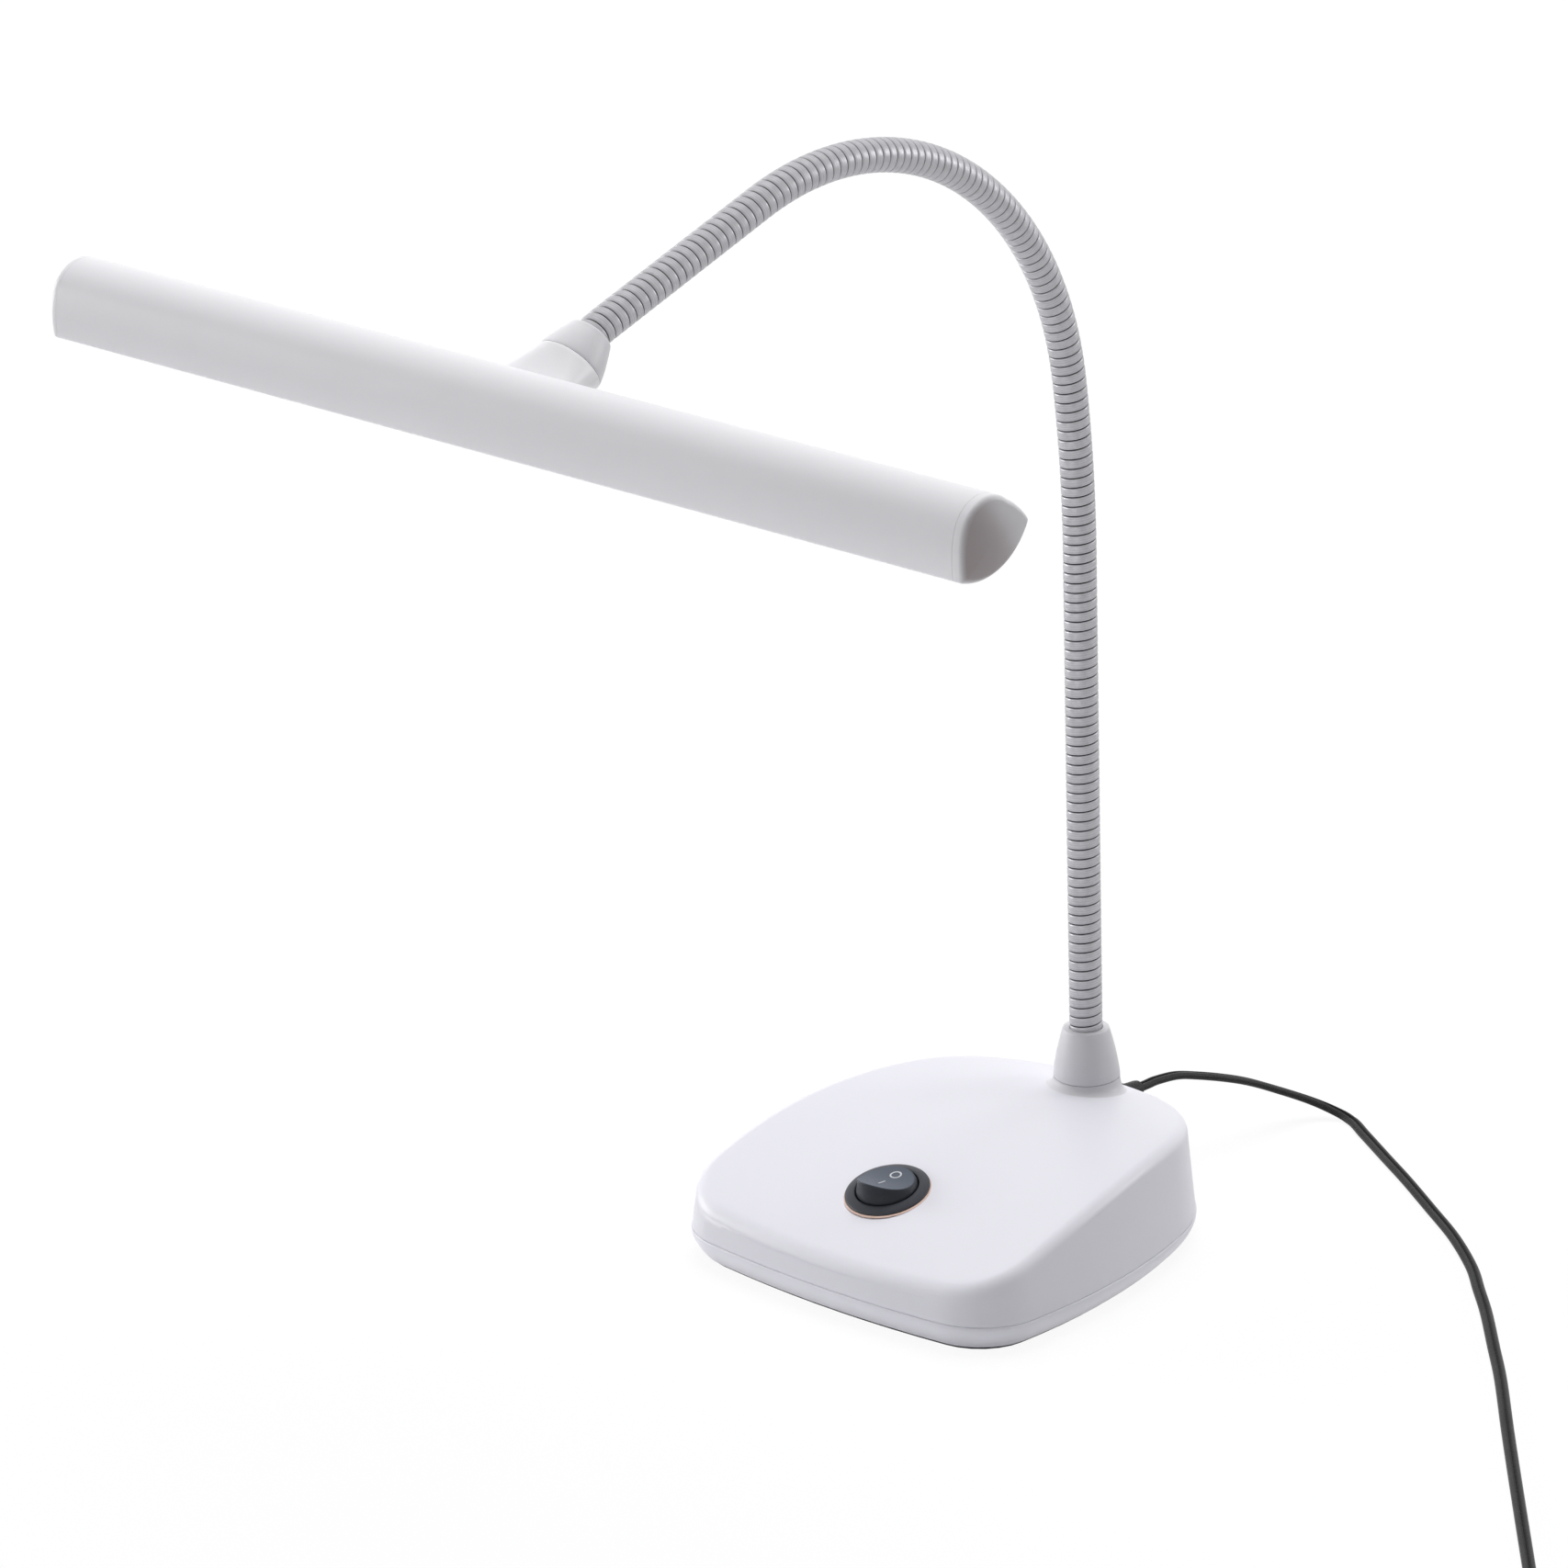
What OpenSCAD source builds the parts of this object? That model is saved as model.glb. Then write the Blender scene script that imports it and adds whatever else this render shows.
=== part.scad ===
// Piano lamp: weighted base with a rocker switch, a gooseneck and a long LED head.
// Millimetres. +Z up, +X along the head, +Y to the back, origin under the middle of the base.

/* [Base] */
// Width across the front corners
base_front_w = 111.8; // [100:0.1:130]
// Width across the back corners
base_back_w = 79; // [70:0.1:90]
// Depth between the front and back corners
base_d = 111.8; // [108:0.2:120]
// Bulge of the front edge
front_bow = 5; // [2:0.1:8]
// Bulge of each side edge
side_bow = 8.2; // [6:0.1:12]
// Bulge of the back edge
back_bow = 9; // [7:0.1:11]
// Length cut from each side at a front corner
front_corner = 15.8; // [10:0.1:18]
// Length cut from each side at a back corner
back_corner = 25.5; // [18:0.1:28]
// Lean of the side walls, degrees
base_draft = 6.6; // [4:0.1:9]
// Height of the housing's top at the front corners
front_h = 16.9; // [16:0.1:19]
// Height of the housing's top at the back corners
back_h = 30.1; // [29:0.1:32]
// Rise of the top above a straight slope
top_crown = 8.1; // [7.4:0.1:9]
// Radius of the top edge
edge_r = 3.3; // [2.8:0.1:4]
// Wall of the housing
wall = 2.2; // [1.8:0.1:2.4]
// Height of the base plate's rim
plate_h = 7; // [6:0.1:7.5]
// Inward curve of the base plate's rim at its bottom
plate_tuck = 3.6; // [2:0.1:4]
// Floor of the base plate
plate_floor = 2.2; // [1.8:0.1:2.8]
// Thickness of the non-slip pad
pad_t = 1; // [0.8:0.1:2]
// Distance of the pad from the base's edge
pad_inset = 5; // [4:0.5:9]
// Thickness of the steel ballast
ballast_t = 8; // [5:0.5:9]

/* [Switch] */
// Distance of the switch in front of the base's centre
switch_front = 32.3; // [30:0.1:35]
// Diameter of the bezel
bezel_d = 23; // [22.5:0.1:25]
// Height of the bezel above the housing
bezel_h = 1.9; // [1.6:0.1:2.4]
// Diameter of the panel hole
switch_hole_d = 20; // [19.6:0.1:20.6]
// Diameter of the opening that the rocker fills
rocker_hole_d = 17.2; // [16.6:0.1:17.6]
// Depth of the switch below the housing's top
switch_depth = 13; // [12:0.5:14]
// Throw of the rocker, degrees
rocker_throw = 20; // [14:1:22]

/* [Neck] */
// Outer diameter of the gooseneck
neck_d = 9; // [8:0.1:9.4]
// Bore of the gooseneck
neck_bore_d = 4; // [3:0.1:4.4]
// Distance of the neck's foot in front of the back corners
neck_inset = 6.7; // [6:0.1:7.4]
// Height of the neck's foot above the housing's top
neck_rise = 0.5; // [0.1:0.1:1.2]
// Forward lean of the straight stem, degrees
neck_lean = 2.2; // [0:0.1:5]
// Length of the straight stem
stem_l = 152.5; // [120:0.5:180]
// Radius of the gentle start of the bend
ease_r = 361; // [250:1:400]
// Turn of the gentle start, degrees
ease_turn = 7.9; // [5:0.1:12]
// Radius of the main bend
bow_r = 92.3; // [80:0.1:110]
// Turn of the main bend, degrees
bow_turn = 98.8; // [90:0.1:104]
// Radius of the last turn into the head
hook_r = 60; // [55:1:80]
// Turn into the head, degrees
hook_turn = 14; // [12:0.1:15]
// Distance from one winding to the next
rib_pitch = 2.7; // [2.4:0.05:3]
// Depth of the groove between windings
rib_depth = 0.6; // [0.4:0.05:0.8]
// Windings in the stretch held by the base
first_ribs = 16; // [15:1:18]
// Windings in each stretch between two pivots
seg_ribs = 14; // [12:1:15]
// Windings in the stretch held by the head
last_ribs = 19; // [17:1:20]
// Width of the groove at a pivot
pivot_gap = 0.9; // [0.8:0.02:0.96]

/* [Collars] */
// Height of the boot round the neck's foot
boot_h = 14; // [12:0.5:18]
// Radius of the boot at its bottom
boot_r = 9.1; // [8.6:0.1:10]
// Radius of the boot at its top
boot_top_r = 6.4; // [6.2:0.1:7]
// Length of the cap on the head's socket
cap_l = 9.8; // [8.5:0.1:11]
// Radius of the cap where it meets the socket
cap_r = 8.9; // [8.4:0.1:9.5]
// Radius of the cap at its rim
cap_top_r = 5.9; // [5.8:0.1:6.5]
// Downward slope of the head's socket, degrees
socket_dip = 37; // [34:0.5:39]
// Depth of the neck in the cap and the socket
socket_depth = 9.4; // [9:0.1:12]

/* [Head] */
// Length of the head
head_l = 306; // [240:1:360]
// Radius of the head's rounded front and top
head_r = 9.8; // [9.2:0.1:10.4]
// Direction that the front wall faces, degrees above the back
front_facing = 181.5; // [178:0.5:185]
// Direction that the back wall faces, degrees above the back
back_facing = 50; // [48:0.5:54]
// Direction that the light opening faces, degrees below the back
lens_facing = 66.5; // [64:0.5:70]
// Distance of the light opening from the middle of the head's round
lens_off = 4.7; // [4.6:0.1:5.6]
// Bulge of the lens
lens_bulge = 5; // [4:0.1:5.4]
// Thickness of the lens
lens_t = 1.5; // [1.2:0.1:1.8]
// Wall of the head
head_wall = 1.8; // [1.5:0.1:2]
// Thickness of each end cap
end_t = 3; // [2.6:0.1:4]
// Radius of the end cap's outer edge
end_r = 2; // [1:0.1:2.4]
// Distance of the head in front of the cap's seam
head_reach = 20.6; // [20:0.1:22]
// Distance of the head below the cap's seam
head_drop = 6.5; // [5.5:0.1:7.5]
// Thickness of the LED board
led_board_t = 1.2; // [1:0.1:1.6]
// Number of LEDs
led_count = 24; // [12:1:36]

/* [Cord] */
// Diameter of the cord
cord_d = 3.4; // [3:0.1:3.6]
// Height of the cord's hole in the back wall
gland_z = 25.1; // [24:0.1:25.4]
// Turns in each layer of the coil
coil_turns = 5; // [3:1:6]
// Radius of the coil's middle turn
coil_r = 20.4; // [19.4:0.1:20.4]
// Space between two turns of the coil
coil_gap = 0.6; // [0.5:0.1:1]

/* [Fits] */
// Clearance between pieces that are assembled
fit = 0.3; // [0.2:0.05:0.35]
// Clearance of a pin or a thread in its hole
pin_fit = 0.1; // [0.05:0.01:0.15]

/* [Hidden] */
SEGS = ["neck_seg_01", "neck_seg_02", "neck_seg_03", "neck_seg_04", "neck_seg_05", "neck_seg_06",
        "neck_seg_07", "neck_seg_08", "neck_seg_09", "neck_seg_10", "neck_seg_11"];
$fn = 48;

// Base: outline of the plan, drawn corner by corner, and the crowned top
plate_z = pad_t + plate_h;
floor_z = pad_t + plate_floor;
corners = [[-base_front_w / 2, -base_d / 2], [base_front_w / 2, -base_d / 2],
           [base_back_w / 2, base_d / 2], [-base_back_w / 2, base_d / 2]];
bows = [front_bow, side_bow, back_bow, side_bow];
cuts = [front_corner, front_corner, back_corner, back_corner];
side_steps = 9;
corner_steps = 6;
lip_h = 1.6;
lip_t = 1.4;

function unit(v) = v / norm(v);
function out_normal(v) = [v.y, -v.x] / norm(v);
function side_at(k, t) =
    let (a = corners[k], b = corners[(k + 1) % 4])
    a + (b - a) * t + out_normal(b - a) * bows[k] * 4 * t * (1 - t);
function side_dir(k, t) =
    let (a = corners[k], b = corners[(k + 1) % 4])
    (b - a) + out_normal(b - a) * bows[k] * 4 * (1 - 2 * t);
function side_start(k) = cuts[k] / norm(corners[(k + 1) % 4] - corners[k]);
function side_end(k) = 1 - cuts[(k + 1) % 4] / norm(corners[(k + 1) % 4] - corners[k]);
function cross2(a, b) = a.x * b.y - a.y * b.x;
function meet(p, u, q, v) = p + u * cross2(q - p, v) / cross2(u, v);
// A corner is a conic between two sides that leaves each along its own direction
function corner_at(k, t) =
    let (n = (k + 1) % 4, a = side_at(k, side_end(k)), b = side_at(n, side_start(n)),
         c = meet(a, side_dir(k, side_end(k)), b, side_dir(n, side_start(n))), w = 1.5 * t * (1 - t))
    (a * (1 - t) * (1 - t) + c * w + b * t * t) / ((1 - t) * (1 - t) + w + t * t);
plan = [for (k = [0:3]) each concat(
    [for (i = [0:side_steps]) side_at(k, side_start(k) + (side_end(k) - side_start(k)) * i / side_steps)],
    [for (i = [1:corner_steps - 1]) corner_at(k, i / corner_steps)])];
plan_n = len(plan);
plan_in = [for (i = [0:plan_n - 1])
    -out_normal(plan[(i + 1) % plan_n] - plan[(i + plan_n - 1) % plan_n])];
function inset(i, k) = plan[i] + plan_in[i] * k;
function slope_t(y) = (y + base_d / 2) / base_d;
function top_z(y) =
    let (t = slope_t(y)) pad_t + front_h + (back_h - front_h) * t + top_crown * 4 * t * (1 - t);
function top_slope(y) =
    atan((back_h - front_h + top_crown * 4 * (1 - 2 * slope_t(y))) / base_d);
function drafted(z) = (z - plate_z) * tan(base_draft);

// Switch: its place and tilt on the crowned top
switch_tilt = top_slope(-switch_front);
seat_drop = 0.5;
bezel_edge = 0.5;
bezel_roll = 1.7;
opening_lip = 0.5;
opening_bevel = 0.4;
switch_floor = 2.5;
rocker_under = 5;
rocker_sink = 1.6;
rocker_r = rocker_hole_d / 2 - fit;
rocker_pin_r = 0.9;
rocker_pin_reach = rocker_hole_d / 2 + 0.9;
terminal = [4.8, 0.8, 4.5];
terminal_out = 4;

// Neck: stations along the centre line, each [y, z, heading from the vertical]
neck_back = base_d / 2 - neck_inset;
neck_foot = top_z(neck_back) + neck_rise;
ease_l = ease_r * ease_turn * PI / 180;
bow_l = bow_r * bow_turn * PI / 180;
hook_l = hook_r * hook_turn * PI / 180;
neck_l = (first_ribs + (len(SEGS) - 2) * seg_ribs + last_ribs) * rib_pitch;
tail_l = neck_l - stem_l - ease_l - bow_l - hook_l;
function go(p, l) = [p[0] - l * sin(p[2]), p[1] + l * cos(p[2]), p[2]];
function turn(p, r, l) =
    let (h = p[2] + l / r * 180 / PI)
    [p[0] + r * (cos(h) - cos(p[2])), p[1] + r * (sin(h) - sin(p[2])), h];
neck_a = [neck_back, neck_foot, neck_lean];
neck_b = go(neck_a, stem_l);
neck_c = turn(neck_b, ease_r, ease_l);
neck_e = turn(neck_c, bow_r, bow_l);
neck_f = go(neck_e, tail_l);
function neck_at(s) =
    s <= stem_l ? go(neck_a, s) :
    s <= stem_l + ease_l ? turn(neck_b, ease_r, s - stem_l) :
    s <= stem_l + ease_l + bow_l ? turn(neck_c, bow_r, s - stem_l - ease_l) :
    s <= neck_l - hook_l ? go(neck_e, s - stem_l - ease_l - bow_l) :
    turn(neck_f, hook_r, s - (neck_l - hook_l));
function pivot_s(k) = (first_ribs + (k - 1) * seg_ribs) * rib_pitch;
neck_end = neck_at(neck_l);
neck_rim = neck_at(neck_l - socket_depth);
neck_sides = 8;

// Fittings at both ends of the neck, those at its foot measured along the neck from there
cup_wall = 1;
cup_h = 6;
cup_floor = 1.7;
cup_bore_r = neck_d / 2 + 0.2;
cup_r = cup_bore_r + cup_wall;
thread_r = 4.9;
thread_l = 18;
wire_r = neck_bore_d / 2 + 0.2;
boss_top = 3;
bell = 1.6;
rim_h = 0.42;
neck_room = 0.35;
boot_step = 4;
boss_r = boot_r + 0.3;
boss_flare = 1.3;
flare_z = -2.4;
flare_h = 4.6;
boss_under = -6;
boss_root = -4;
washer_t = 1.2;
washer_in = 0.4;
cap_wall = 1.2;
cap_bell = 1.3;
cap_rim = 0.5;
cap_room = 0.85;
ferrule_l = 4;
ferrule_floor = 0.8;
ferrule_r = neck_d / 2 + 0.7;
nut_h = 5;
nut_af = 14;

// Head: socket, section and inside, in the plane across the head
seam = [neck_rim[0] - cap_l * cos(socket_dip), neck_rim[1] - cap_l * sin(socket_dip)];
head_c = [seam.x - head_reach, seam.y - head_drop];
lens_n = -lens_facing;
tube_l = head_l - 2 * end_t;
function wall_meet(a, da, b, db) =
    [(da * sin(b) - db * sin(a)), (db * cos(a) - da * cos(b))] / sin(b - a);
function section(k) = concat(
    [for (i = [0:16]) let (a = back_facing + (front_facing - back_facing) * i / 16)
        (head_r - k) * [cos(a), sin(a)]],
    [wall_meet(front_facing, head_r - k, lens_n, lens_off),
     wall_meet(lens_n, lens_off, back_facing, head_r - k)]);
lens_front = section(0)[17];
lens_back = section(0)[18];
lens_chord = norm(lens_back - lens_front);
lens_arc_r = (pow(lens_chord / 2, 2) + pow(lens_bulge, 2)) / (2 * lens_bulge);
lens_dir = unit(lens_back - lens_front);
lens_out = [cos(lens_n), sin(lens_n)];
lens_c = (lens_front + lens_back) / 2 - lens_out * (lens_arc_r - lens_bulge);
lens_half = asin(lens_chord / 2 / lens_arc_r);
lens_arc = [for (i = [0:16]) let (a = lens_n - lens_half + lens_half * i / 8)
    lens_c + lens_arc_r * [cos(a), sin(a)]];
board_off = 1;
led_margin = 5;
led_w = 3;
led_h = 0.8;
ledge_t = 1.6;
ledge_w = 1.4;
leg_t = 1.2;
socket_w = 16;
socket_sink = 0.2;
plug_l = 3;
end_skin = 0.01;
// A point of the section, at a distance along the opening and towards it
function in_head(t, p) = lens_dir * t + lens_out * p;
// Where the inner face of the front or back wall lies at a depth
function wall_t(p, facing) =
    (head_r - head_wall - p * cos(lens_n - facing)) / (lens_dir * [cos(facing), sin(facing)]);
function front_t(p) = wall_t(p, front_facing);
function back_t(p) = wall_t(p, back_facing);

// Cord: points of the run on the table, from the gland to the coil, chosen by hand
gland_wall = base_d / 2 + back_bow - drafted(gland_z);
gland_l = 8.1;
gland_out = gland_wall + gland_l;
gland_r = 2.5;
gland_lip = 0.2;
gland_lip_t = 0.6;
gland_flange = 0.9;
gland_flange_t = 1;
gland_in = wall + 0.8;
gland_lean = (gland_r + gland_flange) * tan(base_draft) + fit;
tie_t = 0.9;
coil_z = cord_d / 2 + tie_t;
cord_lay = cord_d / 2;
run_route = [[0, gland_out, gland_z], [0, gland_out + 4, gland_z], [0, gland_out + 8, gland_z],
    [0.4, 87, 24.3], [1, 95, 22.1], [2.4, 105, 18.9], [4, 114.3, 15.4], [6, 124.5, 10.6], [9.4, 134, 5.8],
    [14.4, 138.8, 3], [20.6, 139.4, cord_lay], [31, 133, cord_lay], [45, 124, cord_lay],
    [60, 114.4, cord_lay], [77, 102.9, cord_lay],
    [94, 91.2, cord_lay], [110, 78, cord_lay], [121, 66.9, cord_lay], [132, 55.7, cord_lay],
    [147, 39.2, cord_lay], [161.5, 23.2, cord_lay], [183.4, -2.5, cord_lay], [210, -33.3, cord_lay],
    [237, -64.4, cord_lay], [260, -91, cord_lay + 0.5], [271, -103.6, coil_z], [275, -108.2, coil_z],
    [279, -112.8, coil_z]];
run_n = len(run_route);
coil_start = run_route[run_n - 1];
coil_dir = unit([coil_start.x - run_route[run_n - 2].x, coil_start.y - run_route[run_n - 2].y]);
coil_step = cord_d + coil_gap;
coil_out = coil_r + (coil_turns - 1) / 2 * coil_step + coil_step / 4;
coil_in = coil_out - coil_turns * coil_step;
coil_first = [coil_start.x, coil_start.y] + coil_dir * cord_d;
coil_c = coil_first + [-coil_dir.y, coil_dir.x] * coil_out;
coil_a = atan2(coil_first.y - coil_c.y, coil_first.x - coil_c.x);
coil_rise = cord_d + coil_gap;
loop_rings = 24;
// A station of the coil, counted in turns: in on the lower layer, up in half a turn, out on the upper
function coil_at(t) =
    let (r = coil_out - coil_step * (coil_turns - abs(coil_turns - t)), a = coil_a + 360 * t,
         up = min(1, max(0, (t - coil_turns + 0.25) * 2)))
    [coil_c.x + r * cos(a), coil_c.y + r * sin(a), coil_z + coil_rise * up];
coil_path = [for (i = [0:2 * coil_turns * loop_rings]) coil_at(i / loop_rings)];
coil_last = coil_at(2 * coil_turns);
coil_lead = [coil_dir.x, coil_dir.y, 0];
adapter = [36, 48, 30];
adapter_gap = 34;
adapter_relief = 14;
adapter_z = adapter.z / 2;
relief_r = [cord_d / 2 + 0.8, cord_d / 2 + 2.4];
pin_r = 2;
pin_l = 19;
pin_in = 6;
pin_out = 9.5;
tail_end = coil_last + coil_lead * adapter_gap + [0, 0, adapter_z - coil_last.z];
tail_route = [coil_last + coil_lead * cord_d, coil_last + coil_lead * 2 * cord_d,
    coil_last + coil_lead * 3 * cord_d, coil_last + coil_lead * 20 + [0, 0, 4],
    tail_end - coil_lead * 7, tail_end - coil_lead * 3.5, tail_end];

// Smooth curve through a list of points, with n steps from each point to the next
function bend(p, n) = concat([for (i = [0:len(p) - 2], j = [0:n - 1])
    let (a = p[max(i - 1, 0)], b = p[i], c = p[i + 1], d = p[min(i + 2, len(p) - 1)], t = j / n)
    0.5 * (2 * b + (c - a) * t + (2 * a - 5 * b + 4 * c - d) * t * t
        + (3 * b - a - 3 * c + d) * t * t * t)], [p[len(p) - 1]]);

// Least gap of a tube to itself, over stations more than half a turn apart
function self_gap(p, far) = min([for (i = [0:len(p) - 1], j = [i + far:1:len(p) - 1]) norm(p[i] - p[j])]);
echo(coil_least_gap = self_gap(coil_path, loop_rings / 2) - cord_d);
function path_l(p) = len(p) < 2 ? 0 : [for (i = 1, l = norm(p[1] - p[0]); i < len(p);
    i = i + 1, l = l + (i < len(p) ? norm(p[i] - p[i - 1]) : 0)) l][len(p) - 2];
echo(cord_length = path_l(bend(run_route, 3)) + path_l(coil_path) + path_l(bend(tail_route, 4)));

// Closed solid through rings of as many points each, with a fan at both ends
module loft(rings) {
    n = len(rings[0]);
    m = len(rings);
    first = [for (c = [0:2]) mean(rings[0], c)];
    last = [for (c = [0:2]) mean(rings[m - 1], c)];
    polyhedron(
        points = concat([for (r = rings) each r], [first, last]),
        faces = concat(
            [for (j = [0:m - 2], i = [0:n - 1]) each
                [[j * n + i, (j + 1) * n + (i + 1) % n, j * n + (i + 1) % n],
                 [j * n + i, (j + 1) * n + i, (j + 1) * n + (i + 1) % n]]],
            [for (i = [0:n - 1]) [m * n, i, (i + 1) % n]],
            [for (i = [0:n - 1]) [m * n + 1, (m - 1) * n + (i + 1) % n, (m - 1) * n + i]]),
        convexity = 6);
}
function mean(ring, c) = ([for (p = ring) p[c]] * [for (p = ring) 1]) / len(ring);

// Tube swept through points, with flat ends
module sweep(p, r, sides) {
    n = len(p);
    loft([for (i = [0:n - 1])
        let (d = unit(p[min(i + 1, n - 1)] - p[max(i - 1, 0)]),
             u = unit(cross([0, 0, 1], d)), v = cross(d, u))
        [for (k = [0:sides - 1]) p[i] + r * (cos(360 * k / sides) * v - sin(360 * k / sides) * u)]]);
}

// Solid of the base's outline from one height up to the crowned top, drawn in all round
module base_form(k, low, drop) {
    r = edge_r - k;
    edge_k = [for (i = [0:plan_n - 1])
        k + drafted(top_z(inset(i, k + edge_r).y) - drop - r) - r * cos(base_draft)];
    loft(concat(
        [[for (i = [0:plan_n - 1]) let (q = inset(i, k + drafted(low))) [q.x, q.y, low]]],
        [for (a = [base_draft, 30, 50, 70, 90]) [for (i = [0:plan_n - 1])
            let (q = inset(i, edge_k[i] + r * (1 + cos(base_draft) - cos(a))))
            [q.x, q.y, top_z(q.y) - drop - r * (1 - sin(a))]]],
        [for (f = [0.75, 0.45, 0.15]) [for (i = [0:plan_n - 1])
            let (q = inset(i, edge_k[i] + r * (1 + cos(base_draft))) * f) [q.x, q.y, top_z(q.y) - drop]]]));
}

// Slab of the base's outline
module base_slab(k, low, high) {
    translate([0, 0, low]) linear_extrude(high - low)
        polygon([for (i = [0:plan_n - 1]) inset(i, k)]);
}

// Screws, weight and board in the base, placed from its edges
front_screw_in = [15.9, 19.9];
back_screw_in = [7.5, 17.9];
base_screw_at = [for (i = [-1, 1]) each [
    [i * (base_front_w / 2 - front_screw_in.x), front_screw_in.y - base_d / 2],
    [i * (base_back_w / 2 - back_screw_in.x), base_d / 2 - back_screw_in.y]]];
post_r = 3.6;
post_rim = 1.2;
post_gap = 1;
screw_r = 1.4;
base_screw_l = 8;
head_screw_r = 3;
screw_head_h = 1.7;
head_sink = 0.3;
ballast_z = floor_z;
ballast_side = base_front_w / 2 - 21.9;
ballast_front = 15.9 - base_d / 2;
ballast_back = base_d / 2 - 29.9;
ballast_cut = 6;
ballast_slot = [switch_hole_d / 2 + 4, 19 - switch_front];
ballast_post_r = 3;
ballast_screw_at = [for (i = [-1, 1]) [i * (ballast_side - 9), ballast_back - 18]];
ballast_screw_r = 5;
ballast_screw_h = 2;
ballast_screw_l = 6.5;
board = [22, 14, 1.6];
board_room = [4, 6];
solder = 0.1;
inductor = [3, 4.1];
capacitor = [2.5, 5.1];
connector = [6, 5.5, 4.6];
board_at = [-16, base_d / 2 - 22.9];
board_z = floor_z + 4.8;
board_post_r = 2.2;
board_screw_at = [for (i = [-1, 1]) board_at + i * [board.x / 2 - 2.5, board.y / 2 - 2.5]];
board_screw_r = 0.9;
board_screw_head = [1.9, 1.2];
board_screw_l = 4.5;

module at_switch() {
    translate([0, -switch_front, top_z(-switch_front)]) rotate([switch_tilt, 0, 0]) children();
}
module at_foot() {
    translate([0, neck_back, neck_foot]) rotate([neck_lean, 0, 0]) children();
}
// Frame across the head: X of the section lies along +Y, Y of the section along +Z
module at_head() {
    translate([0, head_c.x, head_c.y]) rotate([90, 0, 90]) children();
}
// Frame of the cap: +Z runs from the seam back up the socket's axis
module at_seam() {
    translate([0, seam.x, seam.y]) rotate([-(90 - socket_dip), 0, 0]) children();
}
module ring(r, bore, h) {
    difference() {
        cylinder(r = r, h = h);
        translate([0, 0, -1]) cylinder(r = bore, h = h + 2);
    }
}

// White moulded housing: crowned shell with the switch hole, the neck's boss and the screw posts
module base_housing() {
    color("whitesmoke") difference() {
        union() {
            difference() {
                base_form(0, plate_z, 0);
                base_form(wall, plate_z - 1, wall);
            }
            at_foot() {
                rotate_extrude() polygon(concat(
                    [[0, boss_under], [boss_r, boss_under], [boss_r, boss_root],
                     [boss_r + boss_flare, boss_root]],
                    [for (a = [0:15:90])
                        [boss_r + boss_flare * (1 - sin(a)), flare_z + flare_h * (1 - cos(a))]],
                    [[boss_r, boss_top], [0, boss_top]]));
            }
            for (p = base_screw_at) translate([p.x, p.y, plate_z + post_gap])
                cylinder(r = post_r, h = top_z(p.y) - wall / 2 - plate_z - post_gap);
        }
        at_foot() {
            translate([0, 0, -cup_floor - fit]) cylinder(r = cup_r + fit, h = boot_h);
            translate([0, 0, boss_under - 1]) cylinder(r = thread_r + 2 * pin_fit, h = boot_h);
        }
        at_switch() {
            translate([0, 0, -wall * 3]) cylinder(r = switch_hole_d / 2, h = wall * 6);
            translate([0, 0, -seat_drop]) cylinder(r = bezel_d / 2 + fit, h = wall * 3);
        }
        for (p = base_screw_at) translate([p.x, p.y, plate_z])
            cylinder(r = screw_r + pin_fit, h = base_screw_l);
        translate([0, gland_wall + 2 * wall, gland_z]) rotate([90, 0, 0])
            cylinder(r = gland_r + pin_fit, h = 4 * wall);
    }
}

// Tray under the housing, with a lip inside the wall and posts for what it carries
module base_plate() {
    lip = wall + fit + drafted(plate_z + lip_h);
    color("gainsboro") difference() {
        union() {
            difference() {
                loft([for (t = [0:0.2:1])
                    [for (i = [0:plan_n - 1]) let (p = inset(i, plate_tuck * pow(1 - t, 1.6)))
                        [p.x, p.y, pad_t + plate_h * t]]]);
                base_slab(lip + lip_t, floor_z, plate_z + 1);
            }
            difference() {
                base_slab(lip, floor_z, plate_z + lip_h);
                base_slab(lip + lip_t, floor_z - 1, plate_z + lip_h + 1);
            }
            for (p = base_screw_at) translate([p.x, p.y, pad_t])
                cylinder(r = post_r + post_rim, h = plate_z + post_gap - pad_t);
            for (p = ballast_screw_at) translate([p.x, p.y, pad_t])
                cylinder(r = ballast_post_r, h = ballast_z + ballast_t - pad_t);
            for (p = board_screw_at) translate([p.x, p.y, pad_t])
                cylinder(r = board_post_r, h = board_z - pad_t);
        }
        for (p = base_screw_at) translate([p.x, p.y, 0]) {
            cylinder(r = screw_r + fit, h = plate_z + 2 * post_gap);
            cylinder(r = head_screw_r + fit, h = pad_t + screw_head_h + head_sink);
        }
        for (p = ballast_screw_at) translate([p.x, p.y, floor_z])
            cylinder(r = screw_r + pin_fit, h = ballast_t + 1);
        for (p = board_screw_at) translate([p.x, p.y, floor_z])
            cylinder(r = board_screw_r + pin_fit, h = board_z);
    }
}

// Foam pad that the lamp stands on
module foot_pad() {
    color("dimgray") base_slab(pad_inset, 0, pad_t);
}

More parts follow.
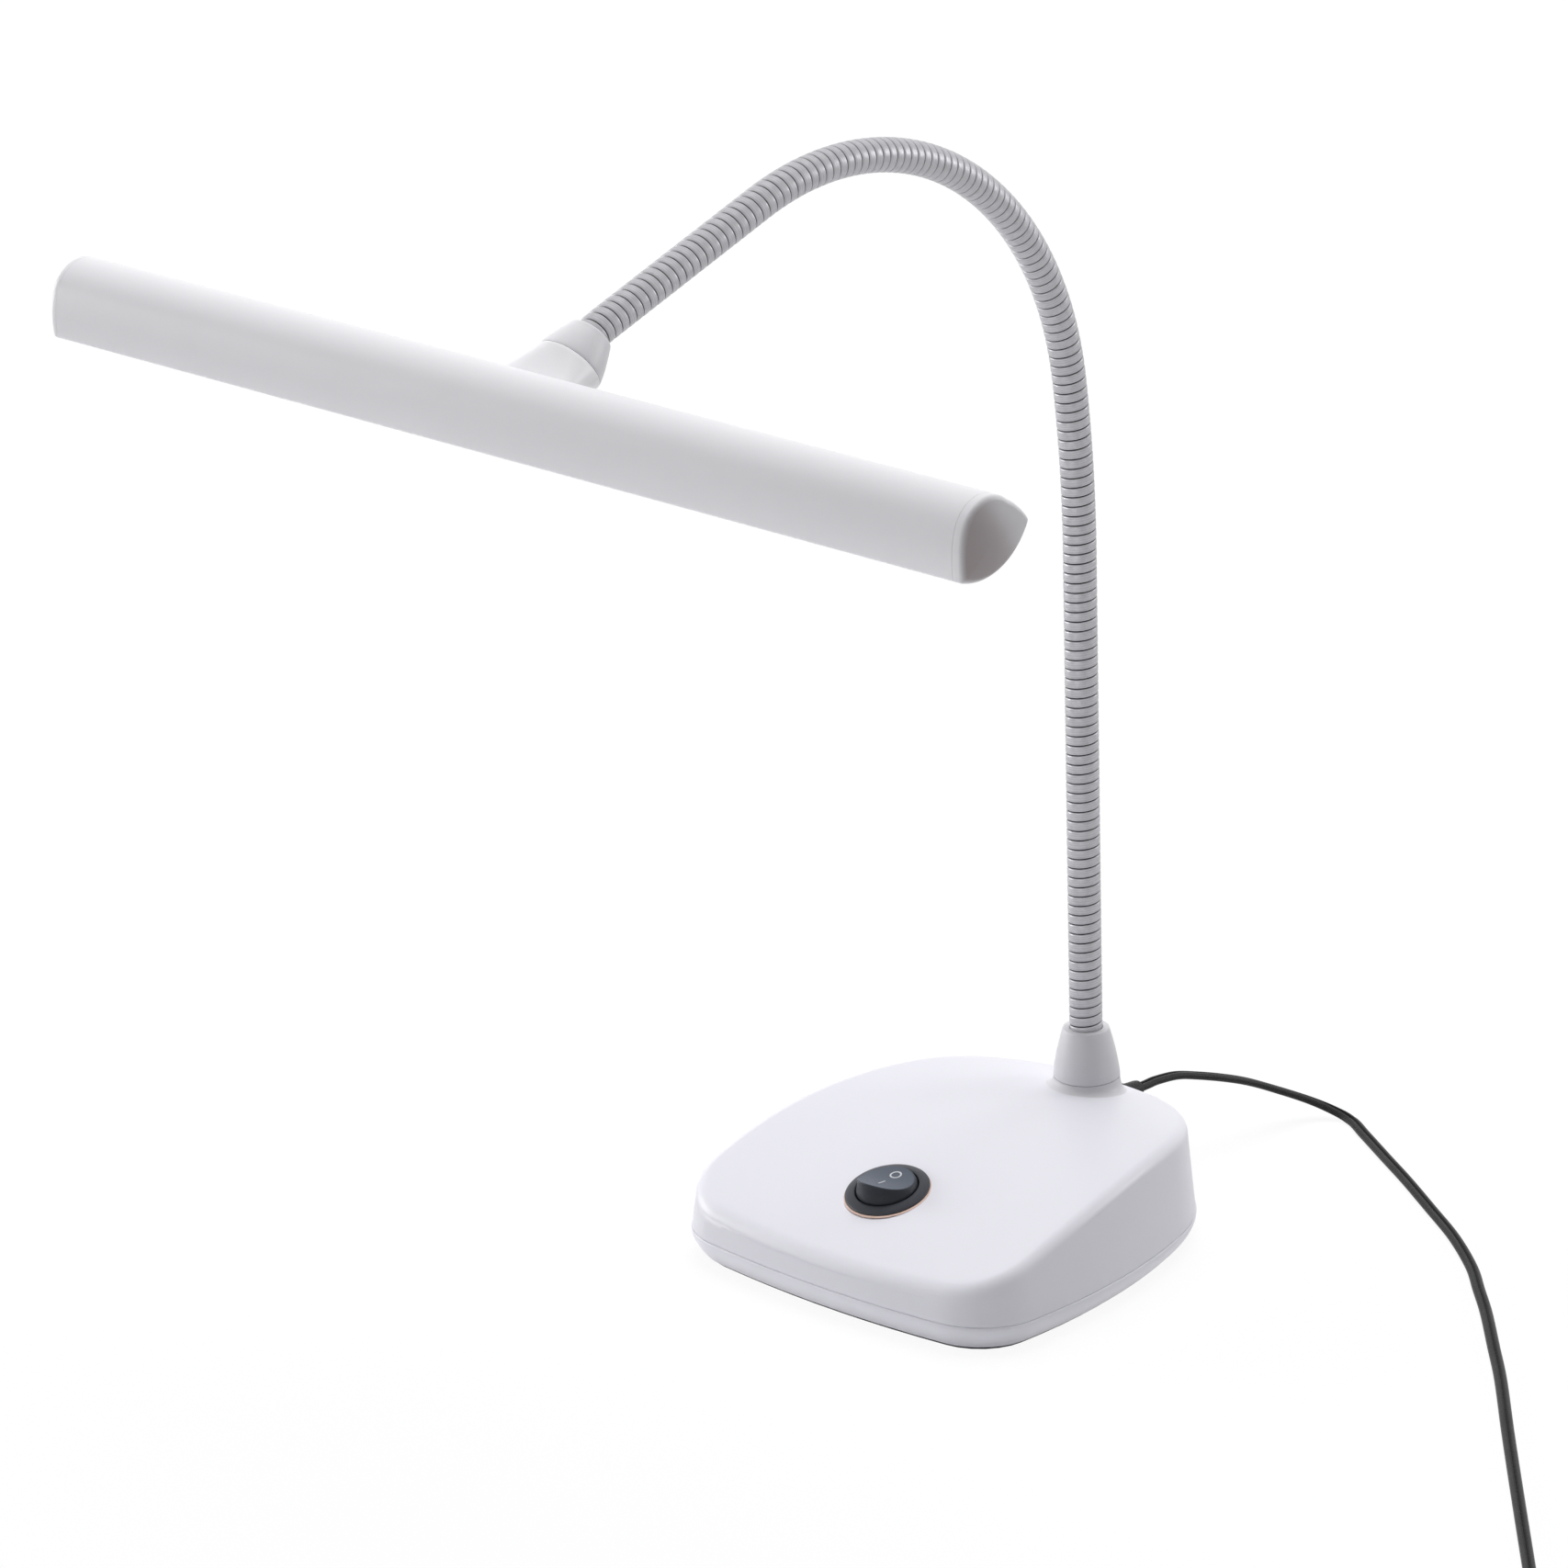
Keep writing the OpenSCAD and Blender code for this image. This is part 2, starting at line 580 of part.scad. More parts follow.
// Steel weight, notched round the switch and drilled over the plate's posts
module ballast_plate() {
    color("slategray") translate([0, 0, ballast_z]) difference() {
        linear_extrude(ballast_t) difference() {
            polygon([[-ballast_side, ballast_front], [ballast_side, ballast_front],
                [ballast_side, ballast_back - ballast_cut], [ballast_side - ballast_cut, ballast_back],
                [ballast_cut - ballast_side, ballast_back], [-ballast_side, ballast_back - ballast_cut]]);
            translate([-ballast_slot.x, -base_d]) square([2 * ballast_slot.x, base_d + ballast_slot.y]);
        }
        for (p = ballast_screw_at) translate([p.x, p.y, -1])
            cylinder(r = ballast_post_r + fit, h = ballast_t + 2);
        translate([board_at.x, board_at.y, -1]) linear_extrude(ballast_t + 2)
            square([board.x, board.y] + board_room, center = true);
    }
}

module pan_screw(head_r, head_h, shank_r, shank_l) {
    rotate_extrude() polygon([[0, -shank_l], [shank_r, -shank_l], [shank_r, 0], [head_r, 0],
        [head_r, head_h * 0.5], [head_r * 0.7, head_h], [0, head_h]]);
}

// Two screws that clamp the weight
module ballast_screws() {
    color("silver") for (p = ballast_screw_at) translate([p.x, p.y, ballast_z + ballast_t])
        pan_screw(ballast_screw_r, ballast_screw_h, screw_r, ballast_screw_l);
}

// Four screws from below into the housing's posts
module base_screws() {
    color("silver") for (p = base_screw_at) translate([p.x, p.y, pad_t + screw_head_h + head_sink])
        mirror([0, 0, 1]) pan_screw(head_screw_r, screw_head_h, screw_r, base_screw_l);
}

// Small board that feeds the LEDs: coil, capacitor and connector
module driver_board() {
    translate([board_at.x, board_at.y, board_z]) {
        color("seagreen") difference() {
            translate([-board.x / 2, -board.y / 2, 0]) cube(board);
            for (p = board_screw_at) translate([p.x - board_at.x, p.y - board_at.y, -board.z / 2])
                cylinder(r = board_screw_r + 2 * pin_fit, h = 2 * board.z);
        }
        color("dimgray") translate([0.5, -2.5, board.z - solder]) cylinder(r = inductor[0], h = inductor[1]);
        color("darkslategray") translate([6.6, -3.5, board.z - solder])
            cylinder(r = capacitor[0], h = capacitor[1]);
        color("white") translate([-10, 0.8, board.z - solder]) cube(connector);
    }
}
module board_screws() {
    color("silver") for (p = board_screw_at) translate([p.x, p.y, board_z + board.z]) 
        pan_screw(board_screw_head[0], board_screw_head[1], board_screw_r, board_screw_l);
}

// Black switch: bezel with a raised rim, barrel in the panel hole, cavity and pin holes
module switch_body() {
    r = bezel_d / 2;
    o = rocker_hole_d / 2;
    color([0.12, 0.13, 0.15]) at_switch() translate([0, 0, -seat_drop]) {
        difference() {
            rotate_extrude() polygon(concat(
                [[0, -switch_depth], [switch_hole_d / 2 - pin_fit, -switch_depth],
                 [switch_hole_d / 2 - pin_fit, 0], [r, 0], [r, bezel_edge]],
                [for (a = [0:22.5:90])
                    [r - bezel_roll * (1 - cos(a)), bezel_edge + (bezel_h - bezel_edge) * sin(a)]],
                [[o + opening_lip, bezel_h], [o, bezel_h - opening_bevel], [o, switch_floor - switch_depth],
                 [0, switch_floor - switch_depth]]));
            translate([0, 0, bezel_h - rocker_sink]) rotate([0, 90, 0])
                cylinder(r = rocker_pin_r + pin_fit, h = 2 * (rocker_pin_reach + pin_fit), center = true);
        }
    }
}

// Rocker: round button on a cross pin, off side flush and on side raised
module switch_rocker() {
    color([0.16, 0.17, 0.2]) at_switch() translate([0, 0, -seat_drop + bezel_h - rocker_sink]) {
        intersection() {
            sphere(r = rocker_r, $fn = 64);
            rotate([90, 0, 90]) translate([0, 0, -rocker_r - 1]) linear_extrude(2 * rocker_r + 2)
                polygon([[0, rocker_sink], [bezel_d, rocker_sink], [bezel_d, -rocker_under],
                    [-bezel_d, -rocker_under], [-bezel_d, rocker_sink + bezel_d * tan(rocker_throw)]]);
        }
        rotate([0, 90, 0]) cylinder(r = rocker_pin_r, h = 2 * rocker_pin_reach, center = true);
    }
}

// Two flat terminals under the switch
module switch_terminals() {
    color("goldenrod") at_switch() for (i = [-1, 1])
        translate([-terminal.x / 2, i * terminal_out - terminal.y / 2,
            -seat_drop - switch_depth - terminal.z]) cube(terminal);
}

// Bell-shaped boot on the housing's boss
module neck_boot() {
    h = boss_top + boot_h;
    color([0.86, 0.86, 0.88]) at_foot() rotate_extrude() polygon(concat(
        [[cup_r + fit, boss_top], [boot_r, boss_top]],
        [for (i = [1:9]) let (t = i / 10)
            [boot_r - (boot_r - boot_top_r) * pow(t, bell), boss_top + (boot_h - rim_h) * t]],
        [[boot_top_r - rim_h, h - rim_h / 3], [boot_top_r - 2 * rim_h, h], [neck_d / 2 + neck_room, h],
         [neck_d / 2 + neck_room, cup_h + boot_step], [cup_r + fit, cup_h + 4 * fit]]));
}

// Threaded fitting crimped on the neck's lower end
module neck_nipple() {
    color("silver") at_foot() rotate_extrude() polygon([
        [wire_r, -cup_floor - thread_l], [thread_r, -cup_floor - thread_l], [thread_r, -cup_floor],
        [cup_r, -cup_floor], [cup_r, cup_h], [cup_bore_r, cup_h], [cup_bore_r, -pin_fit],
        [wire_r, -pin_fit]]);
}
module neck_washer() {
    color("silver") at_foot() translate([0, 0, boss_under - washer_t])
        ring(boss_r - washer_in, thread_r + 2 * pin_fit, washer_t);
}
module neck_nut() {
    color("silver") at_foot() translate([0, 0, boss_under - washer_t - nut_h]) difference() {
        cylinder(r = nut_af / 2 / cos(30), h = nut_h, $fn = 6);
        translate([0, 0, -1]) cylinder(r = thread_r + pin_fit, h = nut_h + 2);
    }
}

// Ring of points across the neck
function neck_ring(s, r) =
    let (p = neck_at(s))
    [for (k = [0:neck_sides - 1]) let (a = 360 * (k + 0.5) / neck_sides)
        [r * cos(a), p[0] + r * sin(a) * cos(p[2]), p[1] + r * sin(a) * sin(p[2])]];

// One stretch of the wound neck, with its bore: each winding is a crest between two grooves
module neck_seg(k) {
    from = k == 0 ? 0 : pivot_s(k) + pivot_gap / 2;
    to = k == len(SEGS) - 1 ? neck_l : pivot_s(k + 1) - pivot_gap / 2;
    a = k == 0 ? 0 : round(pivot_s(k) / rib_pitch);
    b = k == len(SEGS) - 1 ? round(neck_l / rib_pitch) : round(pivot_s(k + 1) / rib_pitch);
    crest = neck_d / 2;
    groove = crest - rib_depth;
    tip = neck_bore_d / 2 + 0.5;
    bore = neck_bore_d / 2;
    outer = concat([[from, k == 0 ? groove : tip]],
        [for (i = [a:b - 1]) each
            concat(i == a ? [] : [[i * rib_pitch, groove]], [[(i + 0.5) * rib_pitch, crest]])],
        [[to, k == len(SEGS) - 1 ? groove : tip]]);
    steps = 6;
    inner = [for (i = [0:steps]) [from + (to - from) * i / steps, bore]];
    rows = concat(outer, [for (i = [steps:-1:0]) inner[i]]);
    m = len(rows);
    n = neck_sides;
    polyhedron(
        points = [for (q = rows) each neck_ring(q[0], q[1])],
        faces = [for (j = [0:m - 1], i = [0:n - 1]) let (d = (j + 1) % m) each
            [[j * n + i, d * n + (i + 1) % n, j * n + (i + 1) % n],
             [j * n + i, d * n + i, d * n + (i + 1) % n]]],
        convexity = 10);
}

// Cap that covers the neck's entry into the head's socket
module neck_cap() {
    color([0.86, 0.86, 0.88]) at_seam() rotate_extrude() polygon(concat(
        [[cap_r - cap_wall, 0], [cap_r, 0]],
        [for (i = [1:8]) let (t = i / 8)
            [cap_r - (cap_r - cap_top_r) * pow(t, cap_bell), (cap_l - cap_rim) * t]],
        [[cap_top_r - cap_rim, cap_l], [neck_d / 2 + cap_room, cap_l],
         [neck_d / 2 + cap_room, cap_l - 2 * cap_room]]));
}

// Socket axis: the neck's own last direction
module at_neck_end() {
    translate([0, neck_end[0], neck_end[1]]) rotate([neck_end[2], 0, 0]) children();
}

// Sleeve crimped on the neck's upper end
module neck_ferrule() {
    color("silver") at_neck_end() translate([0, 0, -ferrule_l + ferrule_floor]) difference() {
        cylinder(r = ferrule_r, h = ferrule_l);
        translate([0, 0, -1])
            cylinder(r = neck_d / 2 + 2 * pin_fit, h = ferrule_l + 1 - ferrule_floor + pin_fit);
        cylinder(r = wire_r, h = ferrule_l + 1);
    }
}

// White head: rounded channel with ledges for the board and the socket for the neck
module head_shell() {
    color("whitesmoke") difference() {
        union() {
            at_head() translate([0, 0, -tube_l / 2]) linear_extrude(tube_l) polygon(section(0));
            hull() {
                at_seam() translate([0, 0, -0.5]) cylinder(r = cap_r, h = 0.5, $fn = 32);
                at_head() translate([0, 0, -socket_w / 2]) linear_extrude(socket_w)
                    polygon([lens_back - in_head(2, 3) * socket_sink, section(socket_sink)[0],
                        section(head_wall)[0]]);
            }
        }
        at_head() translate([0, 0, -tube_l / 2 - 1]) linear_extrude(tube_l + 2) difference() {
            polygon(section(head_wall));
            for (q = [0, 1]) ledge(q);
        }
        at_neck_end() {
            translate([0, 0, -30]) cylinder(r = ferrule_r + fit, h = 31);
            cylinder(r = wire_r, h = 3 * ferrule_l);
        }
    }
}
// Ledge on the front (0) or back (1) wall that the LED board rests against
module ledge(q) {
    a = board_off - ledge_t;
    polygon(q == 0 ?
        [in_head(front_t(a) - 2, a), in_head(front_t(a) + ledge_w, a),
         in_head(front_t(board_off) + ledge_w, board_off), in_head(front_t(board_off) - 2, board_off)] :
        [in_head(back_t(a) + 2, a), in_head(back_t(a) - ledge_w, a),
         in_head(back_t(board_off) - ledge_w, board_off), in_head(back_t(board_off) + 2, board_off)]);
}

// Milky lens with two legs that hold the board
module head_lens() {
    p0 = board_off + led_board_t;
    r = lens_arc_r - lens_t;
    mid = (lens_front + lens_back) / 2 * lens_dir;
    front_leg = front_t(lens_off) + fit;
    back_leg = back_t(lens_off) - fit;
    from = lens_n + asin((front_leg + leg_t - mid) / r);
    to = lens_n + asin((back_leg - leg_t - mid) / r);
    color([0.94, 0.94, 0.96]) at_head() translate([0, 0, -tube_l / 2]) linear_extrude(tube_l) polygon(concat(
        lens_arc,
        [in_head(back_leg, lens_off), in_head(back_t(p0) - fit, p0), in_head(back_t(p0) - fit - leg_t, p0)],
        [for (i = [12:-1:0]) let (a = from + (to - from) * i / 12) lens_c + r * [cos(a), sin(a)]],
        [in_head(front_t(p0) + fit + leg_t, p0), in_head(front_t(p0) + fit, p0),
         in_head(front_leg, lens_off)]));
}

// Board along the head, against the ledges
module led_board() {
    color("ghostwhite") at_head() translate([0, 0, -tube_l / 2 + 1]) linear_extrude(tube_l - 2)
        polygon([in_head(front_t(board_off) + fit, board_off), in_head(back_t(board_off) - fit, board_off),
            in_head(back_t(board_off) - fit, board_off + led_board_t),
            in_head(front_t(board_off) + fit, board_off + led_board_t)]);
}

// Row of LEDs on the board
module leds() {
    step = (tube_l - 2 * led_margin) / led_count;
    m = (front_t(board_off) + back_t(board_off)) / 2;
    color("khaki") at_head() for (i = [0:led_count - 1])
        translate([0, 0, -tube_l / 2 + led_margin + step * (i + 0.5) - led_w / 2]) linear_extrude(led_w)
            polygon([for (q = [[-1, 0], [1, 0], [1, 1], [-1, 1]])
                in_head(m + q[0] * led_w / 2, board_off + led_board_t + q[1] * led_h)]);
}

// Outline of an end cap: the channel's section and the lens
module end_outline() {
    polygon(concat([for (i = [0:16]) section(0)[i]], lens_arc));
}

// End cap with a rounded outer edge and a plug inside the channel
module head_end(side) {
    color("whitesmoke") at_head() mirror([0, 0, side < 0 ? 1 : 0]) translate([0, 0, tube_l / 2]) {
        hull() {
            linear_extrude(end_t - end_r) end_outline();
            for (a = [30, 60, 90]) translate([0, 0, end_t - end_r + end_r * sin(a) - end_skin])
                linear_extrude(end_skin) offset(delta = -end_r * (1 - cos(a))) end_outline();
        }
        translate([0, 0, -plug_l]) linear_extrude(plug_l) intersection() {
            polygon(section(head_wall + fit));
            polygon([in_head(-20, board_off - ledge_t - fit), in_head(20, board_off - ledge_t - fit),
                in_head(20, -20), in_head(-20, -20)]);
        }
    }
}
module head_end_left() { head_end(-1); }
module head_end_right() { head_end(1); }

// Black grommet in the back wall
module cord_gland() {
    inside = gland_wall - gland_in;
    outside = gland_wall + gland_lean;
    color([0.1, 0.1, 0.11]) translate([0, 0, gland_z]) rotate([-90, 0, 0]) rotate_extrude()
        polygon([[0, inside - gland_lip_t], [gland_r + gland_lip, inside - gland_lip_t],
            [gland_r + gland_lip, inside], [gland_r, inside], [gland_r, outside],
            [gland_r + gland_flange, outside], [gland_r + gland_flange, outside + gland_flange_t],
            [gland_r + gland_lip, outside + gland_flange_t + gland_lip_t],
            [cord_d / 2 + gland_lip_t, gland_out], [0, gland_out]]);
}

// Cord on the table, coil, tie and the short end to the adapter
module cord_run() {
    color([0.1, 0.1, 0.11]) sweep(bend(run_route, 3), cord_d / 2, 8);
}
module cord_coil() {
    color([0.1, 0.1, 0.11])
        sweep(concat([coil_start], coil_path, [coil_last + coil_lead * cord_d]), cord_d / 2, 6);
}
module cord_tie() {
    w = coil_out - coil_in + cord_d + 2 * fit;
    h = coil_rise + cord_d + 2 * fit;
    color("dimgray") translate([coil_c.x, coil_c.y, 0]) rotate([0, 0, coil_a + 180])
        translate([(coil_out + coil_in) / 2, 0, coil_z + coil_rise / 2]) rotate([90, 0, 0])
            linear_extrude(4, center = true) difference() {
                square([w + 2 * tie_t, h + 2 * (tie_t - fit)], center = true);
                square([w, h], center = true);
            }
}
module cord_tail() {
    color([0.1, 0.1, 0.11]) sweep(bend(tail_route, 4), cord_d / 2, 8);
}
module at_adapter() {
    translate([tail_end.x, tail_end.y, 0]) rotate([0, 0, atan2(coil_dir.y, coil_dir.x) - 90]) children();
}

// Plug-in adapter with its strain relief
module adapter_body() {
    color([0.13, 0.13, 0.14]) at_adapter() {
        difference() {
            translate([-adapter.x / 2, adapter_relief, 0]) cube(adapter);
            for (i = [-1, 1]) translate([i * pin_out, adapter_relief + adapter.y - pin_in, adapter_z])
                rotate([-90, 0, 0]) cylinder(r = pin_r + pin_fit, h = 2 * pin_in);
        }
        translate([0, 0, adapter_z]) rotate([-90, 0, 0])
            cylinder(r1 = relief_r[0], r2 = relief_r[1], h = adapter_relief + pin_fit);
    }
}
module adapter_pins() {
    color("silver") at_adapter() for (i = [-1, 1])
        translate([i * pin_out, adapter_relief + adapter.y - pin_in, adapter_z]) rotate([-90, 0, 0])
            cylinder(r = pin_r, h = pin_l + pin_in);
}

base_housing();
base_plate();
foot_pad();
ballast_plate();
ballast_screws();
base_screws();
driver_board();
board_screws();
switch_body();
switch_rocker();
switch_terminals();
neck_boot();
neck_nipple();
neck_washer();
neck_nut();
for (k = [0:len(SEGS) - 1])
    color([0.78, 0.78, 0.82]) neck_seg(k);
neck_cap();
neck_ferrule();
head_shell();
head_lens();
led_board();
leds();
head_end_left();
head_end_right();
cord_gland();
cord_run();
cord_coil();
cord_tie();
cord_tail();
adapter_body();
adapter_pins();
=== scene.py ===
import math

import bmesh
import bpy
import numpy as np
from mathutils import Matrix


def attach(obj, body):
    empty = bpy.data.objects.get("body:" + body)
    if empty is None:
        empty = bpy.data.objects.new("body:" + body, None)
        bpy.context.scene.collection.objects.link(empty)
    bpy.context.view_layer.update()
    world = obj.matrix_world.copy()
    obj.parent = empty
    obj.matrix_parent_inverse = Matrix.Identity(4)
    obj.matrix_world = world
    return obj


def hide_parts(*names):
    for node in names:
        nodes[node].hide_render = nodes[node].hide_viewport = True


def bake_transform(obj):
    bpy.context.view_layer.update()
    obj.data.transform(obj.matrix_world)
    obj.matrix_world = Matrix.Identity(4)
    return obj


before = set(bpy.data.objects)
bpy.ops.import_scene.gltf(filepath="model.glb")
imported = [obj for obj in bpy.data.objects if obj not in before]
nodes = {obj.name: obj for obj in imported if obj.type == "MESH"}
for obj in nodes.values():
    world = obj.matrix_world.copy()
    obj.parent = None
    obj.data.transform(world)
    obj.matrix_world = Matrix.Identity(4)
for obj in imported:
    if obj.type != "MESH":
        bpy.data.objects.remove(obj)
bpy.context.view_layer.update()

# ---------------------------------------------------------------- the view
# A long lens on a stand, off the lamp's front right corner and a little above the head,
# so that the head runs down to the right across the picture.
view_turn, view_lift, view_distance = math.radians(42.1453), math.radians(19.3077), 2.091554
view_aim = np.array([-0.036360, -0.032906, 0.131598])
film_width, lens_pixels, picture_pixels = 36, 8671.264, 1707
view_from = view_aim + view_distance * np.array([
    math.sin(view_turn) * math.cos(view_lift), -math.cos(view_turn) * math.cos(view_lift), math.sin(view_lift)])
view_lens = bpy.data.cameras.new("view")
view_lens.sensor_width = film_width
view_lens.lens = film_width * lens_pixels / picture_pixels
view_lens.clip_start, view_lens.clip_end = 0.05, 40
view = bpy.data.objects.new("view", view_lens)
view.location = view_from
view.rotation_euler = (math.pi / 2 - view_lift, 0, view_turn)
bpy.context.collection.objects.link(view)
bpy.context.scene.camera = view

# ---------------------------------------------------------------- table and studio
# A wide pale table in a dim room, lit by soft boxes overhead, low on the left and behind, and by a small card low
# in front. To the lens the table and the room are plain white, and near the lamp the table keeps its shadow.
table_half, table_glow = 6, 1.02
shadow_near, shadow_far, near_white = 0.4, 1.6, 0.9


def shown_white(nodes_of, links):
    """1 for a ray from the lens, a mirror or a glass, else 0: the largest of the three light path flags."""
    path = nodes_of.new("ShaderNodeLightPath")
    seen = path.outputs["Is Camera Ray"]
    for flag in ("Is Glossy Ray", "Is Transmission Ray"):
        most = nodes_of.new("ShaderNodeMath")
        most.operation = "MAXIMUM"
        links.new(seen, most.inputs[0])
        links.new(path.outputs[flag], most.inputs[1])
        seen = most.outputs[0]
    return seen


table_mesh = bpy.data.meshes.new("table")
table_mesh.from_pydata([(x * table_half, y * table_half, 0) for x, y in ((-1, -1), (1, -1), (1, 1), (-1, 1))],
                       [], [(0, 1, 2, 3)])
table = bpy.data.objects.new("table", table_mesh)
bpy.context.collection.objects.link(table)
table_white = bpy.data.materials.new("table_white")
table_white.use_nodes = True
tree = table_white.node_tree
tree.nodes.clear()
matt = tree.nodes.new("ShaderNodeBsdfDiffuse")
matt.inputs["Color"].default_value = (0.81, 0.81, 0.82, 1)
glow = tree.nodes.new("ShaderNodeEmission")
glow.inputs["Color"].default_value = (1, 1, 1, 1)
glow.inputs["Strength"].default_value = table_glow
place = tree.nodes.new("ShaderNodeTexCoord")
far = tree.nodes.new("ShaderNodeVectorMath")
far.operation = "LENGTH"
tree.links.new(place.outputs["Object"], far.inputs[0])
fade = tree.nodes.new("ShaderNodeMapRange")
fade.inputs["From Min"].default_value, fade.inputs["From Max"].default_value = shadow_near, shadow_far
fade.inputs["To Min"].default_value, fade.inputs["To Max"].default_value = near_white, 1
tree.links.new(far.outputs["Value"], fade.inputs["Value"])
share = tree.nodes.new("ShaderNodeMath")
share.operation = "MULTIPLY"
tree.links.new(shown_white(tree.nodes, tree.links), share.inputs[0])
tree.links.new(fade.outputs[0], share.inputs[1])
mix = tree.nodes.new("ShaderNodeMixShader")
tree.links.new(share.outputs[0], mix.inputs[0])
tree.links.new(matt.outputs[0], mix.inputs[1])
tree.links.new(glow.outputs[0], mix.inputs[2])
out = tree.nodes.new("ShaderNodeOutputMaterial")
tree.links.new(mix.outputs[0], out.inputs[0])
table_mesh.materials.append(table_white)

room = bpy.data.worlds.new("room")
room.use_nodes = True
tree = room.node_tree
tree.nodes.clear()
white = tree.nodes.new("ShaderNodeBackground")
white.inputs["Color"].default_value = (1, 1, 1, 1)
soft = tree.nodes.new("ShaderNodeBackground")
soft.inputs["Color"].default_value = (0.93, 0.94, 1, 1)
soft.inputs["Strength"].default_value = 0.04
mix = tree.nodes.new("ShaderNodeMixShader")
tree.links.new(shown_white(tree.nodes, tree.links), mix.inputs[0])
tree.links.new(soft.outputs[0], mix.inputs[1])
tree.links.new(white.outputs[0], mix.inputs[2])
out = tree.nodes.new("ShaderNodeOutputWorld")
tree.links.new(mix.outputs[0], out.inputs[0])
bpy.context.scene.world = room
bpy.context.scene.view_settings.view_transform = "Standard"

for name, place, aim, size, watts in (
        ("overhead_box", (-0.35, 0.55, 2.5), (0, 0.02, 0.1), 2.0, 73),
        ("left_box", (-1.8, -0.8, 0.15), (0, 0, 0.08), 1.2, 30),
        ("back_box", (1.0, 1.5, 0.6), (0, 0, 0.1), 0.6, 6.2),
        ("front_card", (0.15, -0.6, 0.01), (0.03, -0.1, 0.3), 0.45, 1.2)):
    lamp = bpy.data.lights.new(name, "AREA")
    lamp.size = size
    lamp.energy = watts
    box = bpy.data.objects.new(name, lamp)
    box.location = place
    away = np.array(place) - np.array(aim)
    flat = math.hypot(away[0], away[1])
    box.rotation_euler = (math.atan2(flat, away[2]), 0, math.atan2(away[0], -away[1]))
    box.visible_camera = False
    box.visible_glossy = name != "overhead_box"
    bpy.context.collection.objects.link(box)

# ---------------------------------------------------------------- supply lead
# A thin flat twin lead in black vinyl, two cores side by side with a groove between. It drops from
# the base's back to the table, runs to the right, and the rest lies coiled in a tie by its adapter.
lead_width = 0.0034
lead_core = 0.001
lead_centre = lead_width / 2 - lead_core
lead_lay = lead_core
lead_gland = (0, 0.071021, 0.0251)
groove_half = 0.0005
lead_run = np.array([
    lead_gland, (0, 0.075021, 0.0251), (0, 0.079021, 0.0251), (0.0004, 0.087, 0.0243), (0.001, 0.095, 0.0221),
    (0.0024, 0.105, 0.0189), (0.004, 0.1143, 0.0154), (0.006, 0.1245, 0.0106), (0.0094, 0.134, 0.0058),
    (0.0144, 0.1388, 0.0027), (0.0206, 0.1394, lead_lay), (0.031, 0.133, lead_lay), (0.045, 0.124, lead_lay),
    (0.060, 0.1144, lead_lay), (0.077, 0.1029, lead_lay), (0.094, 0.0912, lead_lay), (0.110, 0.078, lead_lay),
    (0.121, 0.0669, lead_lay), (0.132, 0.0557, lead_lay), (0.147, 0.0392, lead_lay), (0.1615, 0.0232, lead_lay),
    (0.1834, -0.0025, lead_lay), (0.210, -0.0333, lead_lay), (0.237, -0.0644, lead_lay),
    (0.260, -0.091, lead_lay + 0.0003), (0.271, -0.1036, 0.0019), (0.275, -0.1082, 0.0019), (0.279, -0.1128, 0.0019)])
coil_turns, coil_middle, coil_step, coil_layer, coil_rows = 5, 0.0204, 0.004, 0.0022, 60
tail_reach, tail_lift, tail_step, adapter_axis = 0.034, (0.020, 0.004), 0.0035, 0.015


def curve_through(points, steps):
    """Points on a smooth curve: each span is the cubic through its two ends whose slope at an end is
    half of the step from the point before that end to the point after it."""
    p = np.asarray(points, float)
    a, b, c, d = np.vstack([p[:1], p[:-2]]), p[:-1], p[1:], np.vstack([p[2:], p[-1:]])
    t = np.linspace(0, 1, steps, endpoint=False)[None, :, None]
    a, b, c, d = (q[:, None] for q in (a, b, c, d))
    spans = 0.5 * (2 * b + (c - a) * t + (2 * a - 5 * b + 4 * c - d) * t ** 2 + (3 * b - a - 3 * c + d) * t ** 3)
    return np.vstack([spans.reshape(-1, 3), p[-1:]])


def unit(v):
    """Each vector divided by its own length."""
    return v / np.linalg.norm(v, axis=-1, keepdims=True)


def skin(name, rows, around=True, along=False, first=False, last=False, marks=None, crease=40):
    """Mesh over a grid of points: (i, j) joins (i + 1, j) and (i, j + 1). around closes each row on itself,
    along closes the columns, first and last close an end row with a fan to its middle. If the volume under
    the faces is negative, all are turned. Edges sharper than crease degrees stay sharp."""
    rows = np.asarray(rows, float)
    m, n = rows.shape[:2]
    points = rows.reshape(-1, 3)
    i = np.arange(m if along else m - 1)[:, None]
    j = np.arange(n if around else n - 1)[None, :]
    up, on = (i + 1) % m, (j + 1) % n
    quads = np.stack([i * n + j, i * n + on, up * n + on, up * n + j], -1).reshape(-1, 4)
    fans = []
    for closed, row, turn in ((first, 0, 1), (last, m - 1, -1)):
        if closed:
            ring = row * n + np.arange(n)
            hub = np.full(n, len(points))
            fans.append(np.stack([hub, *(ring, np.roll(ring, -1))[::-turn]], -1))
            points = np.vstack([points, rows[row].mean(0)])
    fans = np.vstack(fans) if fans else np.zeros((0, 3), int)
    corner = np.vstack([quads[:, [0, 1, 2]], quads[:, [0, 2, 3]], fans])
    a, b, c = (points[corner[:, k]] - points.mean(0) for k in range(3))
    if np.einsum("ij,ij->i", a, np.cross(b, c)).sum() < 0:
        quads, fans = quads[:, ::-1], fans[:, ::-1]
    return surface(name, points, quads.tolist() + fans.tolist(), marks, crease)


